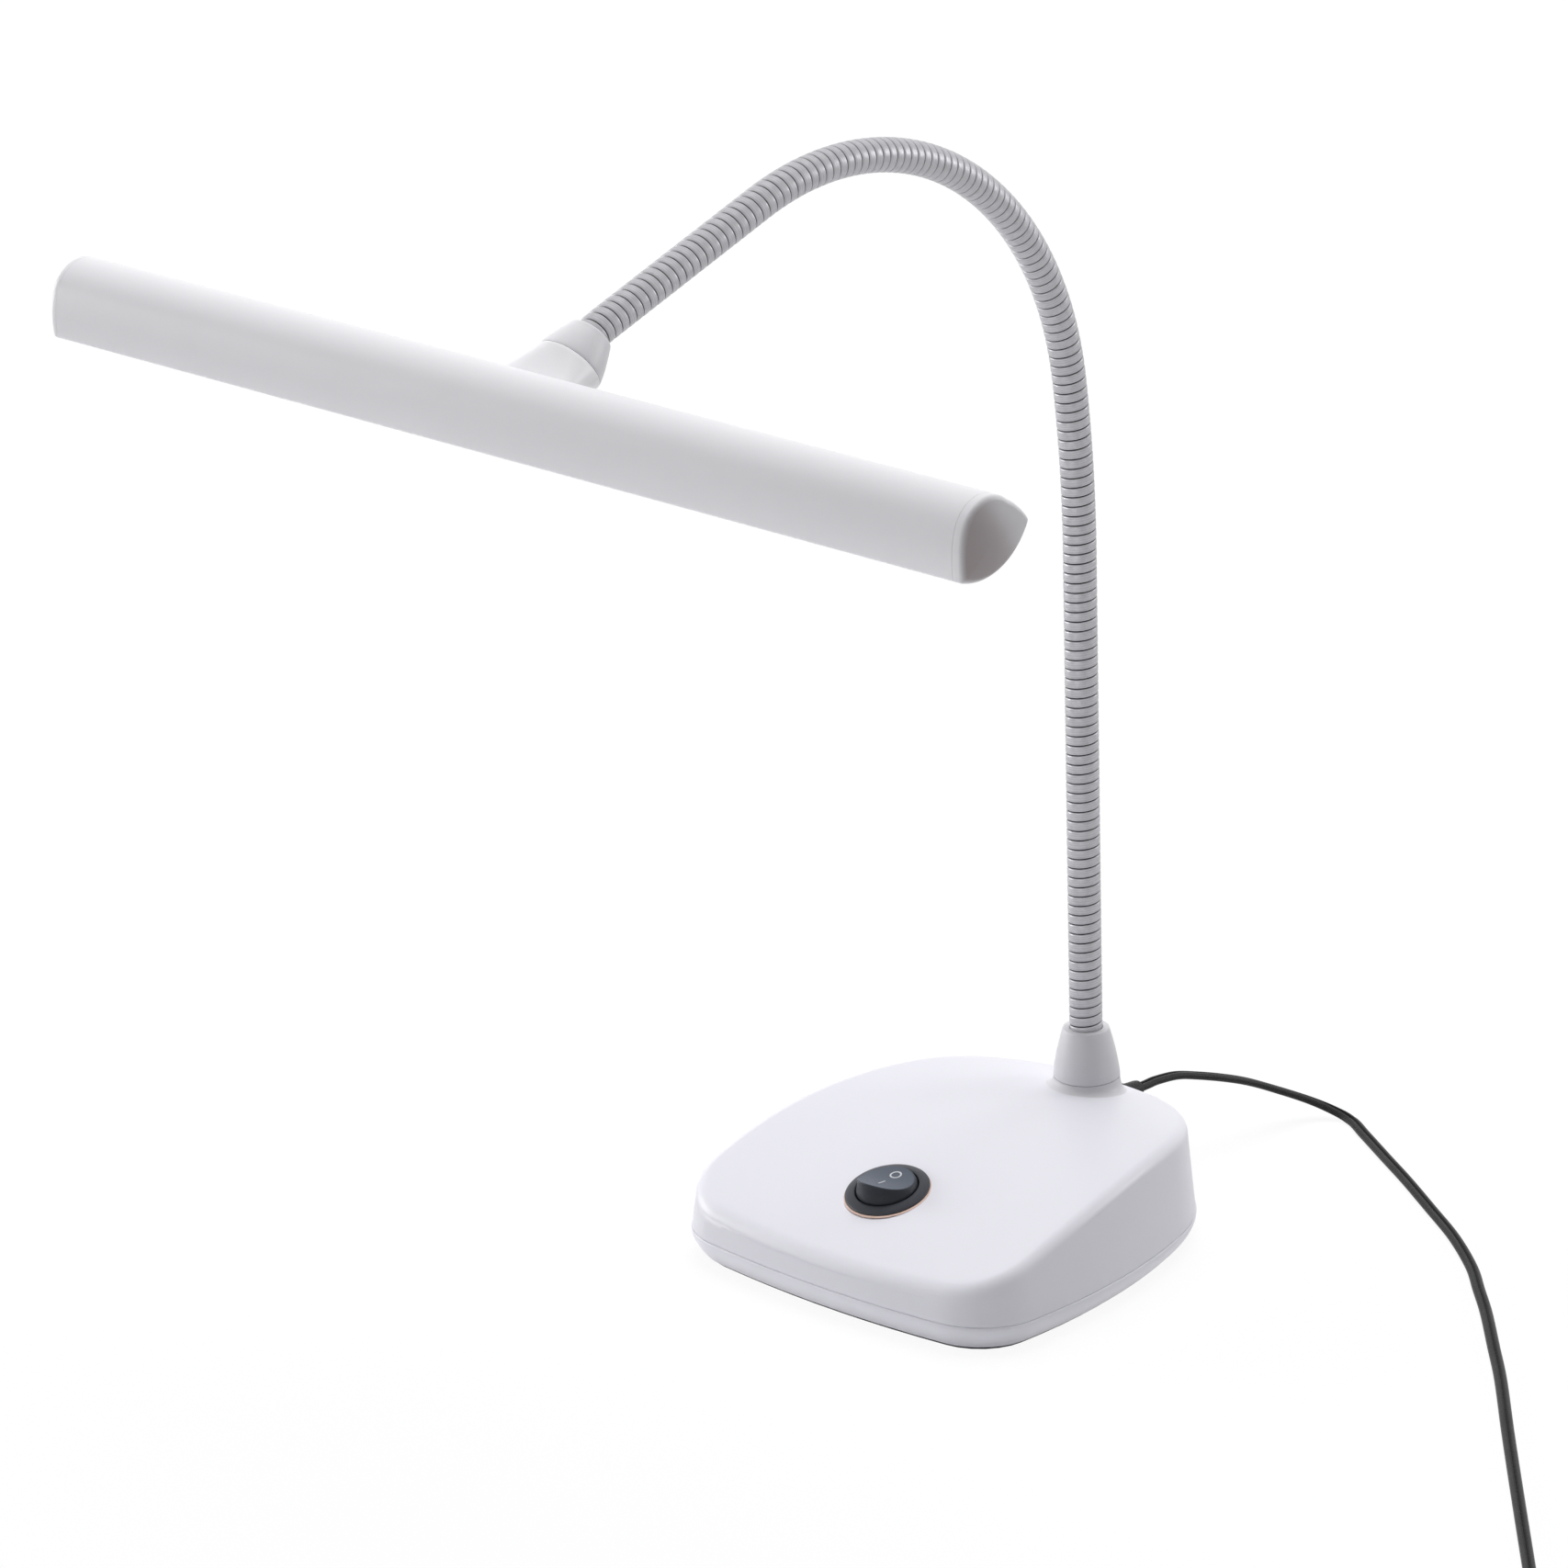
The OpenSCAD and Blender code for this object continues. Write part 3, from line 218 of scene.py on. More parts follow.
def surface(name, points, faces, marks=None, crease=40):
    """Object at the origin from points and faces, smooth but for edges sharper than crease degrees, with each
    of marks kept as one number for each point."""
    mesh = bpy.data.meshes.new(name)
    mesh.from_pydata(points.tolist(), [], faces)
    for mark, values in (marks or {}).items():
        values = np.resize(np.asarray(values, np.float32).ravel(), len(points))
        mesh.attributes.new(mark, "FLOAT", "POINT").data.foreach_set("value", values)
    mesh.polygons.foreach_set("use_smooth", np.ones(len(mesh.polygons), bool))
    mesh.set_sharp_from_angle(angle=math.radians(crease))
    made = bpy.data.objects.new(name, mesh)
    bpy.context.collection.objects.link(made)
    return made


def finish(name, light, dark, spread, grain, bump, rough, metal=0.0, sheen=0.0, mirror=0.5):
    """Material whose colour goes from dark to light with a broad noise of spread per metre, and whose roughness
    and height follow a fine noise of grain per metre. metal, sheen and mirror, the strength of its reflections,
    are the same all over."""
    made = bpy.data.materials.new(name)
    made.use_nodes = True
    nodes_of, links = made.node_tree.nodes, made.node_tree.links
    shader = nodes_of["Principled BSDF"]
    shader.inputs["Metallic"].default_value = metal
    shader.inputs["Sheen Weight"].default_value = sheen
    shader.inputs["Specular IOR Level"].default_value = mirror
    place = nodes_of.new("ShaderNodeTexCoord")
    broad = nodes_of.new("ShaderNodeTexNoise")
    broad.inputs["Scale"].default_value = spread
    broad.inputs["Detail"].default_value = 4
    fine = nodes_of.new("ShaderNodeTexNoise")
    fine.inputs["Scale"].default_value = grain
    fine.inputs["Detail"].default_value = 2
    for noise in (broad, fine):
        links.new(place.outputs["Object"], noise.inputs["Vector"])
    tint = nodes_of.new("ShaderNodeValToRGB")
    tint.color_ramp.elements[0].position, tint.color_ramp.elements[1].position = 0.3, 0.7
    tint.color_ramp.elements[0].color = (*dark, 1)
    tint.color_ramp.elements[1].color = (*light, 1)
    links.new(broad.outputs[0], tint.inputs[0])
    links.new(tint.outputs[0], shader.inputs["Base Color"])
    gloss = nodes_of.new("ShaderNodeMapRange")
    gloss.inputs["From Min"].default_value, gloss.inputs["From Max"].default_value = 0.3, 0.7
    gloss.inputs["To Min"].default_value, gloss.inputs["To Max"].default_value = rough
    links.new(fine.outputs[0], gloss.inputs["Value"])
    links.new(gloss.outputs[0], shader.inputs["Roughness"])
    raised = nodes_of.new("ShaderNodeBump")
    raised.inputs["Strength"].default_value = 1
    raised.inputs["Distance"].default_value = bump
    links.new(fine.outputs[0], raised.inputs["Height"])
    links.new(raised.outputs[0], shader.inputs["Normal"])
    return made


def paint_light_and_shade(made, mark, colour):
    """Mixes a colour into a material's own by a mark that each point of the mesh carries, 0 to 1. Every use here
    paints light and shade into the colour: shade in grooves and on the end caps, light on the rocker's top.
    """
    nodes_of, links = made.node_tree.nodes, made.node_tree.links
    ramp = next(n for n in nodes_of if n.type == "VALTORGB")
    share = nodes_of.new("ShaderNodeAttribute")
    share.attribute_name = mark
    blend = nodes_of.new("ShaderNodeMix")
    blend.data_type = "RGBA"
    blend.inputs["B"].default_value = (*colour, 1)
    links.new(share.outputs["Fac"], blend.inputs["Factor"])
    links.new(ramp.outputs[0], blend.inputs["A"])
    links.new(blend.outputs["Result"], nodes_of["Principled BSDF"].inputs["Base Color"])


coil_start, coil_before = lead_run[-1], lead_run[-2]
coil_ahead = unit(coil_start - coil_before) * (1, 1, 0)
coil_out = coil_middle + (coil_turns - 1) / 2 * coil_step + coil_step / 4
coil_first = coil_start + coil_ahead * lead_width
coil_centre = coil_first + np.array([-coil_ahead[1], coil_ahead[0], 0]) * coil_out
coil_angle = math.atan2(coil_first[1] - coil_centre[1], coil_first[0] - coil_centre[0])
turn = np.linspace(0, 2 * coil_turns, 2 * coil_turns * coil_rows + 1)
radius = coil_out - coil_step * (coil_turns - abs(coil_turns - turn))
lead_coil = np.stack([
    coil_centre[0] + radius * np.cos(coil_angle + 2 * np.pi * turn),
    coil_centre[1] + radius * np.sin(coil_angle + 2 * np.pi * turn),
    coil_start[2] + coil_layer * np.clip((turn - coil_turns + 0.25) * 2, 0, 1)], -1)
coil_last = lead_coil[-1]
tail_end = coil_last + coil_ahead * tail_reach + (0, 0, adapter_axis - coil_last[2])
lead_tail = curve_through([
    *(coil_last + coil_ahead * lead_width * k for k in (1, 2, 3)),
    coil_last + coil_ahead * tail_lift[0] + (0, 0, tail_lift[1]),
    *(tail_end - coil_ahead * tail_step * k for k in (2, 1, 0))], 8)
lead_path = np.vstack([curve_through(lead_run, 8)[:-1], coil_start[None], lead_coil, lead_tail])
lead_path[:, 2] = np.maximum(lead_path[:, 2], lead_lay)
ahead = unit(np.gradient(lead_path, axis=0))
side = unit(np.cross((0, 0, 1), ahead))
over = np.cross(ahead, side)
open_angle = math.acos(-lead_centre / lead_core)
lobe = np.linspace(-open_angle, open_angle, 12)
across = np.concatenate([lead_centre + lead_core * np.cos(lobe), -lead_centre - lead_core * np.cos(lobe[1:-1])])
height = np.concatenate([lead_core * np.sin(lobe), -lead_core * np.sin(lobe[1:-1])])
# Painted shade: the groove mark darkens the vinyl almost to black along the groove between the two cores, where shade
# falls.
groove = np.tile(np.clip(1.5 - abs(across) / groove_half, 0, 1), len(lead_path))
lead = skin("supply_lead", lead_path[:, None] + side[:, None] * across[:, None] + over[:, None] * height[:, None],
            first=True, last=True, marks={"groove": np.append(groove, [0, 0])})
lead_vinyl_painted_shade = finish("lead_vinyl_painted_shade", (0.050, 0.050, 0.051), (0.038, 0.038, 0.039),
                    spread=60, grain=1500, bump=0.00003, rough=(0.22, 0.36), mirror=0.04)
paint_light_and_shade(lead_vinyl_painted_shade, "groove", (0.002, 0.002, 0.002))
lead.data.materials.append(lead_vinyl_painted_shade)
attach(lead, "base")
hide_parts("cord_run", "cord_coil", "cord_tail")

# ---------------------------------------------------------------- lead tie and adapter
# A flat hook-and-loop tie round one side of the coil, and a small plug-in adapter in black plastic with a
# parting line round it, a ribbed strain relief where the lead goes in, and two round pins.
tie_room, tie_thick, tie_half, tie_flatness = 0.0001, 0.0008, 0.003, 8
tie_out = np.array([math.cos(coil_angle), math.sin(coil_angle), 0])
tie_along = np.array([-tie_out[1], tie_out[0], 0])
tie_centre = coil_centre - tie_out * (coil_out - coil_turns * coil_step / 2)
upward = np.array([0, 0, 1])


def rounded(half_x, half_y, power, count):
    """Ring of count points on the closed curve |x / half_x| ** power + |y / half_y| ** power = 1."""
    a = np.linspace(0, 2 * np.pi, count, endpoint=False)
    c, s = np.cos(a), np.sin(a)
    return np.stack([half_x * np.sign(c) * abs(c) ** (2 / power), half_y * np.sign(s) * abs(s) ** (2 / power)], -1)


tie_inner = rounded((coil_turns * coil_step + lead_width) / 2 + tie_room,
                    coil_layer / 2 + lead_core + tie_room, 5, 64)
tie_outer = tie_inner + unit(tie_inner * (1, tie_flatness)) * tie_thick
tie_rows = []
for ring, shift in ((tie_inner, -1), (tie_outer, -1), (tie_outer, 1), (tie_inner, 1)):
    tie_rows.append(tie_centre * (1, 1, 0) + upward * (coil_start[2] + coil_layer / 2) + tie_out * ring[:, :1]
                    + upward * ring[:, 1:] + tie_along * tie_half * shift)
tie = skin("lead_tie", np.array(tie_rows), along=True)
tie.data.materials.append(finish("tie_loops", (0.05, 0.05, 0.052), (0.03, 0.03, 0.032),
                                 spread=400, grain=2600, bump=0.0002, rough=(0.8, 0.95), sheen=0.3))
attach(tie, "base")
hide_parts("cord_tie")

adapter_across = np.array([coil_ahead[1], -coil_ahead[0], 0])
adapter_wide, adapter_high, relief_l = 0.036, 0.030, 0.014
adapter_foot = np.array([tail_end[0], tail_end[1], 0])
adapter_profile = [
    (0, 0.006), (0, 0.0022), (0.0006, 0.001), (0.0018, 0.0003), (0.0034, 0), (0.012, 0), (0.0234, 0), (0.024, 0.0004),
    (0.0246, 0), (0.036, 0), (0.0446, 0), (0.0462, 0.0003), (0.0474, 0.001), (0.048, 0.0022), (0.048, 0.006)]
adapter_rows = []
for ahead_by, inward in adapter_profile:
    ring = rounded(adapter_wide / 2 - inward, adapter_high / 2 - inward, 7, 72)
    adapter_rows.append(adapter_foot + adapter_across * ring[:, :1] + upward * (ring[:, 1:] + adapter_axis)
                        + coil_ahead * (relief_l + ahead_by))
adapter = skin("adapter_case", np.array(adapter_rows), first=True, last=True, crease=50)
adapter_black = finish("adapter_black", (0.024, 0.024, 0.026), (0.017, 0.017, 0.019),
                       spread=90, grain=2200, bump=0.00004, rough=(0.42, 0.6))
adapter.data.materials.append(adapter_black)
relief_wall, relief_taper, rib_depth, rib_count = 0.0008, 0.0016, 0.0004, 7
relief_at = np.linspace(0, 1, 57)
ribbed = np.cos(relief_at * 2 * rib_count * np.pi) > 0.3
relief_r = lead_width / 2 + relief_wall + relief_taper * relief_at - rib_depth * ribbed
ring = rounded(1, 1, 2, 32)
relief_axis = adapter_foot + upward * adapter_axis + coil_ahead * (relief_at * relief_l)[:, None, None]
relief = skin("adapter_relief", relief_axis + relief_r[:, None, None]
              * (adapter_across * ring[:, :1] + upward * ring[:, 1:]), first=True, last=True)
relief.data.materials.append(lead_vinyl_painted_shade)
for piece in (adapter, relief):
    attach(piece, "base")
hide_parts("adapter_body")

# ---------------------------------------------------------------- base plate and pad
# The tray under the base: white moulded plastic whose rim curves in to a foam pad on the table. Its top edge
# stands a hair proud of the housing that sits on it, so the seam shows as a fine light line.
base_front, base_back, base_depth = 0.1118, 0.079, 0.1118
pad_thick, plate_high, plate_tuck = 0.001, 0.007, 0.0036
seam_z = pad_thick + plate_high
edge_proud = 0.00025
plate_inside, plate_floor = 0.0042, pad_thick + 0.0022


def base_outline(side_steps, corner_steps):
    """Plan of the base, counter-clockwise from the front left: each side is a parabola that bows out over its
    chord, and each corner a conic that leaves both sides along their own directions. Returns points and the
    inward unit normals."""
    corners = np.array([(-base_front, -base_depth), (base_front, -base_depth),
                        (base_back, base_depth), (-base_back, base_depth)]) / 2
    bows = np.array([0.005, 0.0082, 0.009, 0.0082])
    cuts = np.array([0.0158, 0.0158, 0.0255, 0.0255])
    a, b = corners, np.roll(corners, -1, 0)
    chord = np.linalg.norm(b - a, axis=1)
    outward = np.stack([(b - a)[:, 1], -(b - a)[:, 0]], -1) / chord[:, None]
    low, high = cuts / chord, 1 - np.roll(cuts, -1) / chord

    def on_side(t):
        """One point on each side, at the share t of its chord: the chord's point plus 4 t (1 - t) of the bow."""
        return a + (b - a) * t[:, None] + outward * (bows * 4 * t * (1 - t))[:, None]

    def along_side(t):
        """Direction of each side there: the slope of the same parabola."""
        return (b - a) + outward * (bows * 4 * (1 - 2 * t))[:, None]

    s = np.linspace(0, 1, side_steps + 1)
    t = low[:, None] + (high - low)[:, None] * s
    bowed = bows[:, None] * 4 * t * (1 - t)
    sides = a[:, None] + (b - a)[:, None] * t[..., None] + outward[:, None] * bowed[..., None]
    p, u = on_side(high), along_side(high)
    q, v = np.roll(on_side(low), -1, 0), np.roll(along_side(low), -1, 0)
    turn = ((q - p)[:, 0] * v[:, 1] - (q - p)[:, 1] * v[:, 0]) / (u[:, 0] * v[:, 1] - u[:, 1] * v[:, 0])
    peak = p + u * turn[:, None]
    c = np.linspace(0, 1, corner_steps + 1)[1:-1][None, :, None]
    weight = 1.5 * c * (1 - c)
    arcs = p[:, None] * (1 - c) ** 2 + peak[:, None] * weight + q[:, None] * c ** 2
    arcs /= (1 - c) ** 2 + weight + c ** 2
    plan = np.concatenate([sides, arcs], 1).reshape(-1, 2)
    along = unit(np.roll(plan, -1, 0) - np.roll(plan, 1, 0))
    return plan, np.stack([-along[:, 1], along[:, 0]], -1)


base_plan, base_inward = base_outline(44, 28)


def base_ring(inset, z):
    """Outline of the base drawn in by inset at the height z; both may differ from point to point."""
    inset = np.broadcast_to(inset, len(base_plan))
    return np.column_stack([base_plan + base_inward * inset[:, None], np.broadcast_to(z, len(base_plan))])


rise = np.linspace(0, 1, 15)
plate_rows = [base_ring(0.012, pad_thick), base_ring(plate_tuck + 0.0006, pad_thick)]
plate_rows += [base_ring((plate_tuck + edge_proud) * (1 - t) ** 1.6 - edge_proud,
                         pad_thick + 0.0001 + (plate_high - 0.0006) * t) for t in rise]
plate_rows += [base_ring(inset, z) for inset, z in (
    (-0.85 * edge_proud, seam_z - 0.0002), (-0.3 * edge_proud, seam_z - 0.00003), (0.0001, seam_z),
    (plate_inside, seam_z), (plate_inside, plate_floor), (0.014, plate_floor))]
plate = skin("base_tray", np.array(plate_rows), first=True, last=True)
white_plastic = finish("white_plastic", (0.785, 0.778, 0.838), (0.765, 0.758, 0.82),
                       spread=14, grain=1900, bump=0.000012, rough=(0.34, 0.42))
plate.data.materials.append(white_plastic)
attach(plate, "base")
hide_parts("base_plate")
pad_foam = finish("pad_foam", (0.06, 0.06, 0.063), (0.035, 0.035, 0.037),
                  spread=700, grain=2400, bump=0.0002, rough=(0.85, 0.95))

# ---------------------------------------------------------------- base housing
# One white moulding: leaning walls, a soft top edge and a crowned top that climbs from the front to the neck,
# with a round hole for the switch. Satin, with a faint cool cast, and hollow underneath.
front_top, back_top, top_crown = 0.0169, 0.0301, 0.0081
wall_lean, edge_round, housing_wall = math.radians(6.6), 0.0033, 0.0022
wall_foot = seam_z + 0.0004
switch_y, seat_sink, seat_r, hole_r = -0.0323, 0.0005, 0.0118, 0.0101


def top_z(y):
    """Height of the top: a straight slope from the front to the back edge, and a parabola over it."""
    t = (y + base_depth / 2) / base_depth
    return pad_thick + front_top + (back_top - front_top) * t + top_crown * 4 * t * (1 - t)


def top_lean(y):
    """Angle of the top's slope at y, front to back."""
    t = (y + base_depth / 2) / base_depth
    return math.atan((back_top - front_top + top_crown * 4 * (1 - 2 * t)) / base_depth)


def lean_in(z):
    """How far the leaning wall has come in at the height z."""
    return (z - seam_z) * math.tan(wall_lean)


def shell_rows(k, drop, foot):
    """Rings of the housing's skin, drawn in by k and lowered by drop: up the wall from the height foot, and round
    the top edge on an arc that touches both the wall and the top."""
    r = edge_round - k
    reach = base_plan + base_inward * (k + edge_round)
    edge = k + lean_in(top_z(reach[:, 1]) - drop - r) - r * math.cos(wall_lean)
    brow = top_z(reach[:, 1]) - drop - r * (1 - math.sin(wall_lean))
    rows = []
    for t in np.linspace(0, 1, 7)[:-1]:
        z = foot + (brow - foot) * t
        rows.append(base_ring(k + lean_in(z), z))
    for a in np.linspace(wall_lean, math.pi / 2, 11):
        ring = base_ring(edge + r * (1 + math.cos(wall_lean) - math.cos(a)), 0)
        ring[:, 2] = top_z(ring[:, 1]) - drop - r * (1 - math.sin(a))
        rows.append(ring)
    return rows


def to_hole(rim, radius, drop, steps):
    """Rings from the top's rim to a circle round the switch, point by point along straight lines in plan."""
    a = np.arctan2(rim[:, 1] - switch_y, rim[:, 0])
    hole = np.stack([radius * np.cos(a), switch_y + radius * np.sin(a) * math.cos(switch_lean)], -1)
    rings = []
    for t in steps:
        flat = rim[:, :2] * (1 - t) + hole * t
        rings.append(np.column_stack([flat, top_z(flat[:, 1]) - drop]))
    return rings


switch_lean = top_lean(switch_y)
outer = [base_ring(inset, seam_z + lift)
         for inset, lift in ((0.0006, 0.00004), (0.00016, 0.00004), (0.00008, 0.00012))]
outer += shell_rows(0, 0, wall_foot)
outer += to_hole(outer[-1], seat_r, 0, np.linspace(0, 1, 26)[1:])
seat = []
for radius, drop in ((seat_r, seat_sink), (hole_r, seat_sink), (hole_r, housing_wall)):
    seat += to_hole(outer[-1], radius, drop, [1])
inner = shell_rows(housing_wall, housing_wall, wall_foot)
inner += to_hole(inner[-1], hole_r, housing_wall, np.linspace(0, 1, 14)[1:-1])
housing = skin("base_shell", np.array(outer + seat + inner[::-1]), along=True)
housing.data.materials.append(white_plastic)
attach(housing, "base")
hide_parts("base_housing")

# ---------------------------------------------------------------- switch
# A round rocker switch snapped into the base: a black bezel on a thin pale rubber seal, and a rocker on a cross pin,
# off here, so its dished face lies low behind and stands up in front. A ring and a bar are printed on it.
bezel_r, bezel_high, opening_r = 0.0115, 0.0019, 0.0086
seal_shift = (0.00033, -0.00042, 0)
rocker_r, rocker_sink, rocker_high, rocker_tip, rocker_dish = 0.0083, 0.0016, 0.0033, 0.287, 27
rocker_lean, lean_from, lean_over, brow_reach = 0.36, 0.0015, 0.0026, 0.0075
rocker_sides = 128


def on_switch(local):
    """Points from the switch's own frame, z out of the base, to the lamp's frame."""
    x, y, z = np.moveaxis(np.asarray(local, float), -1, 0)
    c, s = math.cos(switch_lean), math.sin(switch_lean)
    return np.stack([x, switch_y + y * c - z * s, top_z(switch_y) + y * s + z * c], -1)


def turned(profile, count):
    """Surface of revolution: each (radius, height) of the profile goes round the z axis in count steps."""
    profile = np.asarray(profile, float)
    a = np.linspace(0, 2 * np.pi, count, endpoint=False)
    return np.stack([profile[:, :1] * np.cos(a), profile[:, :1] * np.sin(a),
                     np.broadcast_to(profile[:, 1:], (len(profile), count))], -1)


bezel_profile = np.array([
    (0.0099, -0.013), (0.0099, 0.0005), (0.0114, 0.0005), (bezel_r, 0.0006), (bezel_r, 0.00085), (0.01143, 0.00105),
    (0.0113, 0.00118), (0.0106, 0.00148), (0.0099, 0.00172), (0.0093, 0.00186), (0.009, bezel_high),
    (0.00878, bezel_high - 0.00004), (0.00866, bezel_high - 0.00015), (opening_r, bezel_high - 0.0004),
    (opening_r, -0.010), (0.0035, -0.010)]) - (0, seat_sink)
bezel = skin("switch_bezel", on_switch(turned(bezel_profile, 96)), first=True, last=True, crease=50)
switch_black = finish("switch_black", (0.038, 0.041, 0.050), (0.031, 0.034, 0.042),
                      spread=120, grain=2600, bump=0.00003, rough=(0.36, 0.5), mirror=0.3)
bezel.data.materials.append(switch_black)
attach(bezel, "base")
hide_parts("switch_body")
seal_profile = np.array([
    (0.0103, 0), (0.0112, 0), (0.0112, 0.00045), (0.0117, 0.00045), (0.01178, 0.00055), (0.0117, 0.00064),
    (0.0103, 0.00064)]) - (0, seat_sink)
seal = skin("switch_seal", on_switch(turned(seal_profile, 96) + seal_shift), along=True)
seal.data.materials.append(finish("seal_rubber", (0.78, 0.58, 0.50), (0.72, 0.51, 0.43),
                                  spread=200, grain=2400, bump=0.00003, rough=(0.6, 0.75)))
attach(seal, "base")


def rocker_top(y):
    """Height of the rocker's face over the base: a shallow parabola, tipped so that the front edge stands up."""
    return rocker_high - rocker_tip * y + rocker_dish * y ** 2


rocker_axis = bezel_high - rocker_sink - seat_sink
a = np.linspace(0, 2 * np.pi, rocker_sides, endpoint=False)
rocker_rows = []
for dip in np.linspace(-0.5, 0, 5)[:-1]:
    rocker_rows.append(np.column_stack([rocker_r * math.cos(dip) * np.cos(a), rocker_r * math.cos(dip) * np.sin(a),
                                        np.full(rocker_sides, rocker_axis + rocker_r * math.sin(dip))]))
brow = rocker_top(brow_reach * np.sin(a)) - rocker_axis
rolled_edge = (0.96, 0.00003), (0.985, 0.00012), (1, 0.00032)
for t, draw in (*((t, 0) for t in (0, 0.15, 0.3, 0.45, 0.6, 0.75, 0.9)), *rolled_edge):
    lift = brow * t
    reach = rocker_r - rocker_lean * np.clip(lift - lean_from, 0, lean_over) - draw
    rocker_rows.append(np.column_stack([reach * np.cos(a), reach * np.sin(a), rocker_axis + lift]))
rim = rocker_rows[-1]
for t in (0.97, 0.9, 0.75, 0.55, 0.35, 0.15):
    rocker_rows.append(np.column_stack([rim[:, :2] * t, rocker_top(rim[:, 1] * t)]))
# Painted light: the face mark lightens the rocker's top face, and the roll of its edge part way, from black to a
# bluish grey, for the light that falls on the top. The walls stay black.
face = np.repeat([0] * 12 + [0.2, 0.8] + [1] * 6, rocker_sides)
rocker = skin("switch_button", on_switch(np.array(rocker_rows)), first=True, last=True,
              marks={"face": np.append(face, [0, 1])})
rocker_black = finish("rocker_black", (0.030, 0.033, 0.042), (0.024, 0.027, 0.034),
                      spread=150, grain=2600, bump=0.00004, rough=(0.4, 0.54), mirror=0.22)
paint_light_and_shade(rocker_black, "face", (0.092, 0.107, 0.136))
rocker.data.materials.append(rocker_black)
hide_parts("switch_rocker")


def printed(flat_x, flat_y):
    """Thin mark on the rocker's face: a strip of rows with two edges, lifted a hair and closed underneath."""
    lifted = np.stack([flat_x, flat_y, rocker_top(flat_y) + print_lift], -1)
    sunk = np.stack([flat_x, flat_y, rocker_top(flat_y) - print_lift], -1)
    return on_switch(np.concatenate([lifted, sunk[:, ::-1]], 1))


print_lift, ring_edges, ring_y = 0.00004, (0.0012, 0.00165), 0.0041
bar_edges, bar_y, bar_l = (-0.00018, 0.00018), -0.0026, 0.0025
a = np.linspace(0, 2 * np.pi, 64, endpoint=False)[:, None]
ring_mark = skin("switch_mark_ring", printed(np.cos(a) * ring_edges, ring_y + np.sin(a) * ring_edges), along=True)
b = np.linspace(0, 1, 9)[:, None]
bar_mark = skin("switch_mark_bar", printed(b * 0 + bar_edges, bar_y + b * (bar_l, bar_l)), first=True, last=True)
mark_white = finish("mark_white", (0.62, 0.63, 0.65), (0.54, 0.55, 0.58),
                    spread=900, grain=3000, bump=0.00001, rough=(0.5, 0.6))
for piece in (ring_mark, bar_mark):
    piece.data.materials.append(mark_white)
for piece in (rocker, ring_mark, bar_mark):
    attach(piece, "rocker")

# ---------------------------------------------------------------- grommet
# The grommet where the lead leaves the base: soft black vinyl moulded round the lead and snapped into the back
# wall, with a flange outside and a short taper along the lead.
gland_wall = 0.062921
gland_profile = np.array([
    (0, -0.0036), (0.0027, -0.0036), (0.0027, -0.003), (0.0025, -0.003), (0.0025, 0.0007), (0.0034, 0.0007),
    (0.0034, 0.0014), (0.0032, 0.0017), (0.0028, 0.0019), (0.0027, 0.003), (0.0024, 0.0072), (0.0022, 0.0081)])
ring = turned(gland_profile + (0, gland_wall), 48)
gland = skin("lead_grommet", np.stack([ring[..., 0], ring[..., 2], ring[..., 1] + lead_gland[2]], -1), last=True)
gland.data.materials.append(lead_vinyl_painted_shade)
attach(gland, "base")
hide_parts("cord_gland")

# ---------------------------------------------------------------- neck boot
# A bell of slightly greyer plastic at the neck's foot. It sits on a short boss that flares out of the housing,
# with a fine joint line between, and its rim closes round the neck.
foot_y, foot_z, foot_lean = 0.0492, 0.03263423, math.radians(2.2)
neck_r = 0.0045


def on_foot(local):
    """Points from the neck foot's frame, z up the leaning stem, to the lamp's frame."""
    x, y, z = np.moveaxis(np.asarray(local, float), -1, 0)
    c, s = math.cos(foot_lean), math.sin(foot_lean)
    return np.stack([x, foot_y + y * c - z * s, foot_z + y * s + z * c], -1)


boss_r, boss_flare, boss_top, boss_wall, boss_sunk = 0.0091, 0.0024, 0.003, 0.0061, -0.006
edge_dip, dip_from, dip_over = 0.0012, 0.009, 0.003
a = np.linspace(0, 2 * np.pi, 96, endpoint=False)
foot_r = boss_r + boss_flare
behind = foot_r * np.sin(a)
boss_foot = top_z(foot_y + behind) - foot_z - behind * math.tan(foot_lean) - 0.0001
boss_foot -= edge_dip * np.clip((behind - dip_from) / dip_over, 0, 1) ** 2
boss_rows = [(boss_wall, boss_foot * 0 + boss_sunk), (boss_r, boss_foot * 0 + boss_sunk), (foot_r, boss_foot - 0.001)]
for curve in np.radians(np.linspace(0, 90, 15)):
    boss_rows.append((foot_r - boss_flare * math.sin(curve),
                      boss_foot + (boss_top - 0.0004 - boss_foot) * (1 - math.cos(curve))))
boss_rows += [(r, boss_foot * 0 + z) for r, z in (
    (boss_r, boss_top - 0.0002), (boss_r - 0.00006, boss_top - 0.00005), (boss_r - 0.00022, boss_top),
    (boss_wall, boss_top))]
collar_plastic = finish("collar_plastic", (0.70, 0.695, 0.72), (0.675, 0.67, 0.695),
                        spread=40, grain=1900, bump=0.000015, rough=(0.38, 0.46), mirror=0.4)
boss = skin("base_boss", on_foot([np.column_stack([r * np.cos(a), r * np.sin(a), z]) for r, z in boss_rows]),
            along=True)
boss.data.materials.append(collar_plastic)
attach(boss, "base")
t = np.linspace(0.03, 0.94, 19)
boot_r, boot_top_r, boot_high, boot_bore, boot_hollow = 0.0091, 0.0064, 0.014, neck_r + 0.0001, 0.0063
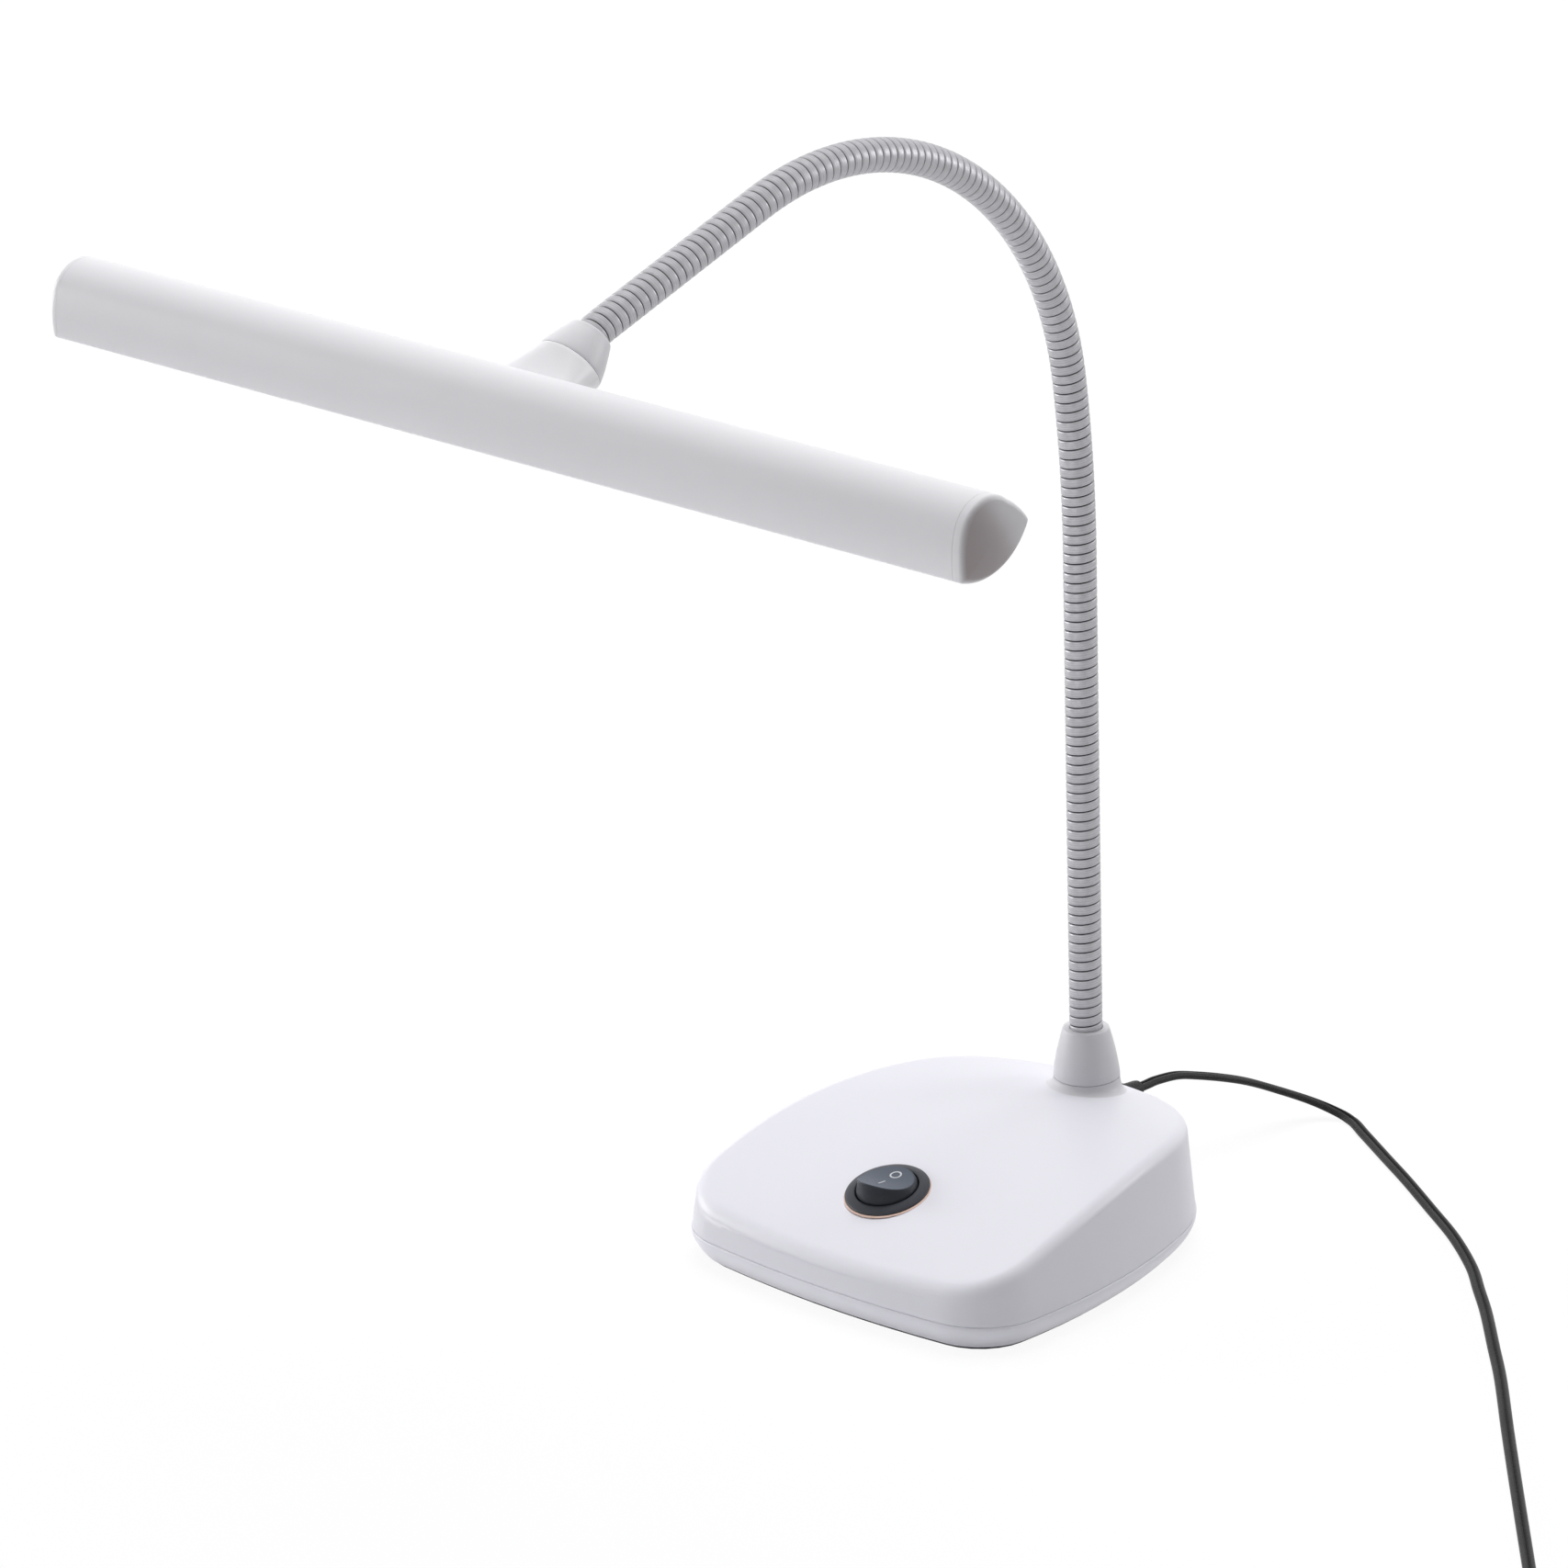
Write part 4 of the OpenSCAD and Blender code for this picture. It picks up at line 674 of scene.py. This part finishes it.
boot_profile = np.vstack([
    [(boot_hollow, 0.00006), (boot_r - 0.0003, 0.00006), (boot_r - 0.0001, 0.00014)],
    np.column_stack([boot_r - (boot_r - boot_top_r) * t ** 1.4, boot_high * 0.97 * t]),
    [(boot_top_r, boot_high - 0.0005), (boot_top_r - 0.00015, boot_high - 0.00015), (boot_top_r - 0.0005, boot_high),
     (boot_bore, boot_high), (boot_bore, 0.007), (boot_hollow, 0.0042)]]) + (0, boss_top)
boot = skin("neck_bell", on_foot(turned(boot_profile, 96)), along=True)
boot.data.materials.append(collar_plastic)
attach(boot, "base")
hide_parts("neck_boot")

# ---------------------------------------------------------------- gooseneck
# A right-handed winding of bright drawn steel strip, rounded between fine grooves and finely lined along its
# length, on a tube that bends and stays. The grooves are darkened by painted shade. It is made in lengths from
# the middle of one stretch to the middle of the next, the inner ones each round one pivot.
wind_pitch, wind_depth, slit_half = 0.0027, 0.0006, 0.045
line_count, line_shade = 4, 0.09
stem_l, ease_r, ease_turn = 0.1525, 0.361, math.radians(7.9)
bow_r, bow_turn, hook_r, hook_turn = 0.0923, math.radians(98.8), 0.060, math.radians(14)
first_turns, stretch_turns, last_turns, pivot_count = 16, 14, 19, 10
neck_l = (first_turns + (pivot_count - 1) * stretch_turns + last_turns) * wind_pitch


def neck_line(s):
    """Place (y, z) and heading from the vertical at the length s along the neck: a straight stem, a gentle bend,
    the main bow, a straight tail and a last turn into the head. A bend adds r (cos h - cos h0, sin h - sin h0)."""
    runs = [(stem_l, 0), (ease_r * ease_turn, ease_r), (bow_r * bow_turn, bow_r)]
    runs.append((neck_l - sum(l for l, r in runs) - hook_r * hook_turn, 0))
    runs.append((hook_r * hook_turn, hook_r))
    s = np.asarray(s, float)
    y, z, h = np.full(s.shape, foot_y), np.full(s.shape, foot_z), np.full(s.shape, foot_lean)
    for length, r in runs:
        part = np.clip(s, None, length) if (length, r) == runs[0] else np.clip(s, 0, length)
        if r:
            turned_h = h + part / r
            y, z, h = y + r * (np.cos(turned_h) - np.cos(h)), z + r * (np.sin(turned_h) - np.sin(h)), turned_h
        else:
            y, z = y - part * np.sin(h), z + part * np.cos(h)
        s = s - part
    return y, z, h


def winding(name, low, high):
    """Length of the wound neck from low to high along it. Rows follow the helix: a point's length is the pitch
    times its turn number, whole turns plus the part of a turn round the tube; its radius falls from the crest to
    the groove with the fifth power of the distance from the crest, and a slit cuts the groove deeper. The groove
    mark paints shade: it darkens the slit and the low ground next to it; as a cosine of the place across the strip,
    it also draws the strip's fine lines. Rows beyond an end are drawn back to it, and each end is closed."""
    across = np.array([0, 0.02, 0.045, *np.linspace(0.08, 0.92, 15), 0.955, 0.98])
    sides = 40
    first, last = math.floor(low / wind_pitch) - 1, math.ceil(high / wind_pitch) + 1
    turns = (np.arange(first, last)[:, None] + across).ravel()
    angle = np.arange(sides) / sides
    s = (turns[:, None] + angle) * wind_pitch
    held = np.clip(s, low, high)
    phase = (held / wind_pitch - angle) % 1
    deep = abs(2 * phase - 1) ** 5
    slit = np.clip(1.3 - abs((phase + 0.5) % 1 - 0.5) / slit_half, 0, 1)
    lines = line_shade * (1 + np.cos(2 * line_count * np.pi * phase))
    r = neck_r - wind_depth * (0.4 * deep + 0.9 * slit)
    y, z, h = neck_line(held)
    around = 2 * np.pi * angle
    points = np.stack([r * np.cos(around), y + r * np.sin(around) * np.cos(h),
                       z + r * np.sin(around) * np.sin(h)], -1)
    m, step = len(turns), len(across)
    i, j = np.meshgrid(np.arange(m - 1), np.arange(sides), indexing="ij")
    on = j + 1 == sides
    next_j, next_i = np.where(on, 0, j + 1), np.where(on, i + step, i)
    kept = next_i + 1 < m
    quads = np.stack([i * sides + j, next_i * sides + next_j,
                      (next_i + 1) * sides + next_j, (i + 1) * sides + j], -1)[kept]
    over_low, over_high = (s <= low).ravel(), (s >= high).ravel()
    quads = quads[~(over_low[quads].all(1) | over_high[quads].all(1))]
    made = surface(name, points.reshape(-1, 3), quads.tolist(),
                   {"groove": np.clip(deep ** 2 * 0.25 + slit + lines, 0, 1)}, 70)
    shape = bmesh.new()
    shape.from_mesh(made.data)
    bmesh.ops.delete(shape, geom=[v for v in shape.verts if not v.link_faces], context="VERTS")
    bmesh.ops.remove_doubles(shape, verts=shape.verts, dist=2e-6)
    bmesh.ops.dissolve_degenerate(shape, edges=shape.edges, dist=1e-7)
    bmesh.ops.holes_fill(shape, edges=[e for e in shape.edges if e.is_boundary], sides=0)
    bmesh.ops.recalc_face_normals(shape, faces=shape.faces)
    shape.to_mesh(made.data)
    shape.free()
    return made


neck_steel_painted_shade = finish("wound_steel_painted_shade", (0.57, 0.565, 0.595), (0.50, 0.495, 0.52),
                    spread=500, grain=2400, bump=0.00001, rough=(0.34, 0.48), metal=0.42)
# Painted shade: the groove mark darkens the steel almost to black in the slits and the low ground by them, where
# shade falls. The fine lines it also carries are the strip's own.
paint_light_and_shade(neck_steel_painted_shade, "groove", (0.03, 0.03, 0.036))
pivots = (first_turns + stretch_turns * np.arange(pivot_count)) * wind_pitch
half_stretch = stretch_turns / 2 * wind_pitch
cuts = [0, *(pivots - half_stretch), pivots[-1] + half_stretch, neck_l]
for k in range(pivot_count + 2):
    length = winding(f"neck_winding_{k + 1:02d}", cuts[k], cuts[k + 1])
    length.data.materials.append(neck_steel_painted_shade)
    if k == 0:
        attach(length, "base")
    elif k > pivot_count:
        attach(length, "head")
    else:
        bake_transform(length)
    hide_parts(f"neck_seg_{min(k, pivot_count) + 1:02d}")

# ---------------------------------------------------------------- neck cap and socket
# The cone that takes the neck into the head: a plastic cap with a rounded rim, a fine joint line, and the
# socket moulded on the head's back wall, which spreads as it meets the tube.
cap_l, cap_r, cap_top_r, cap_bore, neck_sunk = 0.0098, 0.0089, 0.0059, 0.00535, 0.0094
rim_y, rim_z = (float(q) for q in neck_line(np.array(neck_l - neck_sunk))[:2])
socket_dip = math.radians(37)
joint_y, joint_z = rim_y - cap_l * math.cos(socket_dip), rim_z - cap_l * math.sin(socket_dip)


def on_cap(local):
    """Points from the cap's frame, z from the joint line up the neck, to the lamp's frame."""
    x, y, z = np.moveaxis(np.asarray(local, float), -1, 0)
    c, s = math.sin(socket_dip), math.cos(socket_dip)
    return np.stack([x, joint_y + y * c + z * s, joint_z - y * s + z * c], -1)


t = np.linspace(0.04, 0.96, 17)
cap_profile = np.vstack([
    [(cap_r - 0.0012, 0.00003), (cap_r - 0.00025, 0.00003), (cap_r - 0.00006, 0.00012)],
    np.column_stack([cap_r - (cap_r - cap_top_r) * t ** 1.3, (cap_l - 0.0006) * t]),
    [(cap_top_r, cap_l - 0.0005), (cap_top_r - 0.0002, cap_l - 0.00015), (cap_top_r - 0.0005, cap_l),
     (cap_bore, cap_l), (cap_bore, cap_l - 0.0016)]])
cap = skin("neck_cone", on_cap(turned(cap_profile, 96)), along=True)
cap.data.materials.append(finish("cap_plastic", (0.745, 0.738, 0.765), (0.72, 0.713, 0.74),
                                 spread=40, grain=1900, bump=0.000015, rough=(0.38, 0.46)))
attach(cap, "head")
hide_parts("neck_cap")

head_l, head_r, end_t = 0.306, 0.0098, 0.003
front_facing, back_facing, lens_facing = math.radians(181.5), math.radians(50), math.radians(-66.5)
lens_off, lens_bulge, lens_thick, head_wall = 0.0047, 0.005, 0.0015, 0.0018
back_bow, brow_turn, corner_soft = 0.0006, math.radians(14), 0.0004
back_out = np.array([math.cos(back_facing), math.sin(back_facing)])
head_y, head_z = joint_y - 0.0206, joint_z - 0.0065


def wall_meet(a, da, b, db):
    """Point where two lines of the section meet, each given by its facing and its distance from the middle."""
    return np.array([da * math.sin(b) - db * math.sin(a), db * math.cos(a) - da * math.cos(b)]) / math.sin(b - a)


def head_outline(count):
    """Section of the head: a back wall that bows out a little, an arc over the top, a front wall that goes on from
    the arc as a flatter parabola, and the bulged lens below; spaced evenly along and smoothed with a bell curve,
    so that the two lower corners are rounded. Starts at the back corner of the lens. Returns the points and the
    index of the front corner."""
    brow = front_facing - brow_turn
    over = np.linspace(back_facing, brow, 90)
    front, back = (wall_meet(q, head_r, lens_facing, lens_off) for q in (front_facing, back_facing))
    chord = np.linalg.norm(back - front)
    r = (chord ** 2 / 4 + lens_bulge ** 2) / (2 * lens_bulge)
    middle = (front + back) / 2 - np.array([math.cos(lens_facing), math.sin(lens_facing)]) * (r - lens_bulge)
    half = math.asin(chord / 2 / r)
    under = lens_facing + np.linspace(-half, half, 60)
    top = head_r * np.column_stack([np.cos(over), np.sin(over)])
    t = np.linspace(0, 1, 30, endpoint=False)[:, None]
    bow = back_bow * 4 * t * (1 - t) * back_out
    pull = top[-1] + np.array([-math.sin(brow), math.cos(brow)]) * np.linalg.norm(front - top[-1]) / 2
    brow_line = top[-1] * (1 - t) ** 2 + pull * 2 * t * (1 - t) + front * t ** 2
    line = np.vstack([back + (top[0] - back) * t + bow, top, brow_line[1:], [front],
                      middle + r * np.column_stack([np.cos(under), np.sin(under)])[1:]])
    run = np.concatenate([[0], np.cumsum(np.linalg.norm(np.diff(line, axis=0), axis=1))])
    even = np.linspace(0, run[-1], count, endpoint=False)
    points = np.column_stack([np.interp(even, run, line[:, k]) for k in range(2)])
    corner = int(round(count * run[2 * len(t) + len(top) - 1] / run[-1]))
    away = ((np.arange(count) + count / 2) % count - count / 2) * run[-1] / count
    bell = np.exp(-0.5 * (away / corner_soft) ** 2)
    smooth = np.fft.ifft(np.fft.fft(points, axis=0) * np.fft.fft(bell / bell.sum())[:, None], axis=0).real
    return smooth, corner


section, lens_corner = head_outline(360)
section_middle = section.mean(0)


def drawn_in(share):
    """The section shrunk towards its middle by a share of itself."""
    return section + (section_middle - section) * share


def on_head(x, flat):
    """Points of the section, (back, up) from the head's middle, at the length x along the head."""
    flat = np.asarray(flat, float)
    return np.stack([np.broadcast_to(x, flat.shape[:-1]), head_y + flat[..., 0], head_z + flat[..., 1]], -1)


a = np.linspace(0, 2 * np.pi, 96, endpoint=False)
socket_ring = on_cap(np.stack([cap_r * np.cos(a), cap_r * np.sin(a), np.zeros(96)], -1))
root_half, root_sunk = 0.0116, 0.0004
wall_low, wall_high = wall_meet(back_facing, head_r, lens_facing, lens_off) * 0.9, head_r * back_out
spread = rounded(root_half, 0.5, 4, 96)
up_wall = (wall_low + wall_high) / 2 + (wall_low - wall_high) * spread[:, 1:]
socket_root = on_head(spread[:, 0], up_wall - root_sunk * back_out)
socket_rows = [socket_ring * (1 - t) + socket_ring.mean(0) * t for t in (0.06, 0.01)]
socket_rows += [socket_ring * (1 - t) + socket_root * t for t in (0.015, *np.linspace(0.08, 1, 16))]
socket = skin("head_socket", np.array(socket_rows), first=True, last=True, crease=60)
head_white = finish("head_white", (0.785, 0.777, 0.805), (0.765, 0.757, 0.785),
                    spread=14, grain=1900, bump=0.000012, rough=(0.34, 0.42))
# Painted light: the socket is moulded with the head, but it gets its own lighter, less blue copy of the head's white,
# to brighten it where the lamps leave it dimmer.
socket.data.materials.append(finish("socket_white_painted_light", (0.87, 0.86, 0.885), (0.85, 0.84, 0.865),
                                    spread=14, grain=1900, bump=0.000012, rough=(0.34, 0.42)))
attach(socket, "head")

# ---------------------------------------------------------------- head
# A long white channel of rounded-triangle section. A milky strip lens closes it underneath and shines down on
# the music, and a cap with a soft edge is pressed into each end. The caps' faces carry painted shade.
tube_half = head_l / 2 - end_t
section_reach = 0.0088
end_round, end_dome, plug_l, plug_inset = 0.0014, 0.0007, 0.0025, 0.26
# shade_way, shade_reach, shade_fall and shade_at place the painted shade on the end caps: its way across the section
# towards the back and top, its reach, and how fast and where it fades.
shade_way, shade_reach, shade_fall, shade_at = (0.8, 0.6), 0.010, 5, 0.35


def strip(name, first, last, thick):
    """Closed strip along the head: the section from point first to point last, and the same drawn in by thick."""
    k = np.arange(first, last + 1) % len(section)
    outer, inner = section[k], drawn_in(thick / section_reach)[k]
    return skin(name, np.stack([on_head(-tube_half, outer), on_head(tube_half, outer), on_head(tube_half, inner),
                                on_head(-tube_half, inner)], 1), first=True, last=True)


channel = strip("head_channel", 0, lens_corner, head_wall)
channel.data.materials.append(head_white)
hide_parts("head_shell")
lens = strip("head_diffuser", lens_corner, len(section), lens_thick)
lens.data.materials.append(finish("milky_lens", (0.80, 0.795, 0.81), (0.77, 0.765, 0.785),
                                  spread=30, grain=1200, bump=0.000006, rough=(0.24, 0.32)))
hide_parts("head_lens")
end_plastic_painted_shade = finish("end_plastic_painted_shade", (0.79, 0.782, 0.808), (0.765, 0.758, 0.785),
                     spread=40, grain=1900, bump=0.000012, rough=(0.36, 0.44))
# Painted shade: the face mark mixes each end cap's face towards a warm grey, for the shade on the ends of the head.
paint_light_and_shade(end_plastic_painted_shade, "face", (0.385, 0.34, 0.345))
for name, way, end_straight in (("left", -1, 0.0009), ("right", 1, 0.0019)):
    b, t = np.linspace(0, 1.4, 12), np.linspace(0.07, 0.97, 13)
    curve = end_round / section_reach * (1 - np.cos(b))
    rim = tube_half + end_straight + end_round * math.sin(b[-1])
    reach = np.concatenate([[tube_half - plug_l, tube_half, tube_half, tube_half + 0.0001],
                            tube_half + end_straight + end_round * np.sin(b), rim + end_dome * t * (2 - t)])
    inset = np.concatenate([[plug_inset, plug_inset, 0.01, 0], curve, curve[-1] + (1 - curve[-1]) * t])
    rows = [on_head(way * x, drawn_in(share)) for x, share in zip(reach, inset)]
    # The painted shade grows from the rounded rim onto the flat face and fades out towards the back and top. The hub
    # takes 0.85 of it.
    painted_shade_depth = np.concatenate([[0] * 5, np.linspace(0, 1, 11) ** 1.5, [1] * 13])
    toward_back = np.outer(1 - inset, (section - section_middle) @ shade_way) / shade_reach
    face = painted_shade_depth[:, None] / (1 + np.exp(shade_fall * (toward_back - shade_at)))
    cover = skin(f"head_cover_{name}", np.array(rows), first=True, last=True,
                 marks={"face": np.append(face, [0, 0.85])})
    cover.data.materials.append(end_plastic_painted_shade)
    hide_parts(f"head_end_{name}")
    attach(cover, "head")
for piece in (channel, lens):
    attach(piece, "head")

# ---------------------------------------------------------------- inner works
# What the housing and the head hide: the iron weight, plated screws and neck fittings, the driver board, the
# switch's brass tags, and the row of light chips on its white board.
plated = finish("plated_steel", (0.62, 0.62, 0.64), (0.50, 0.50, 0.52),
                spread=300, grain=3000, bump=0.00001, rough=(0.25, 0.4), metal=1)
iron = finish("cast_iron", (0.13, 0.135, 0.14), (0.08, 0.085, 0.09),
              spread=120, grain=1500, bump=0.0002, rough=(0.55, 0.75), metal=0.7)
for names, made in (
        (("foot_pad",), pad_foam),
        (("ballast_plate",), iron),
        (("ballast_screws", "base_screws", "board_screws", "neck_nipple", "neck_washer", "neck_nut", "neck_ferrule",
          "adapter_pins"), plated),
        (("driver_board",), finish("board_lacquer", (0.03, 0.16, 0.07), (0.02, 0.11, 0.05),
                                   spread=300, grain=1500, bump=0.00003, rough=(0.3, 0.45))),
        (("switch_terminals",), finish("tag_brass", (0.62, 0.45, 0.17), (0.50, 0.35, 0.12),
                                       spread=300, grain=2500, bump=0.00001, rough=(0.3, 0.45), metal=1)),
        (("led_board",), finish("board_white", (0.78, 0.78, 0.76), (0.72, 0.72, 0.70),
                                spread=200, grain=1500, bump=0.00002, rough=(0.4, 0.55))),
        (("leds",), finish("chip_phosphor", (0.75, 0.62, 0.16), (0.68, 0.54, 0.10),
                           spread=900, grain=3000, bump=0.00001, rough=(0.35, 0.5)))):
    for name in names:
        nodes[name].data.materials.clear()
        nodes[name].data.materials.append(made)
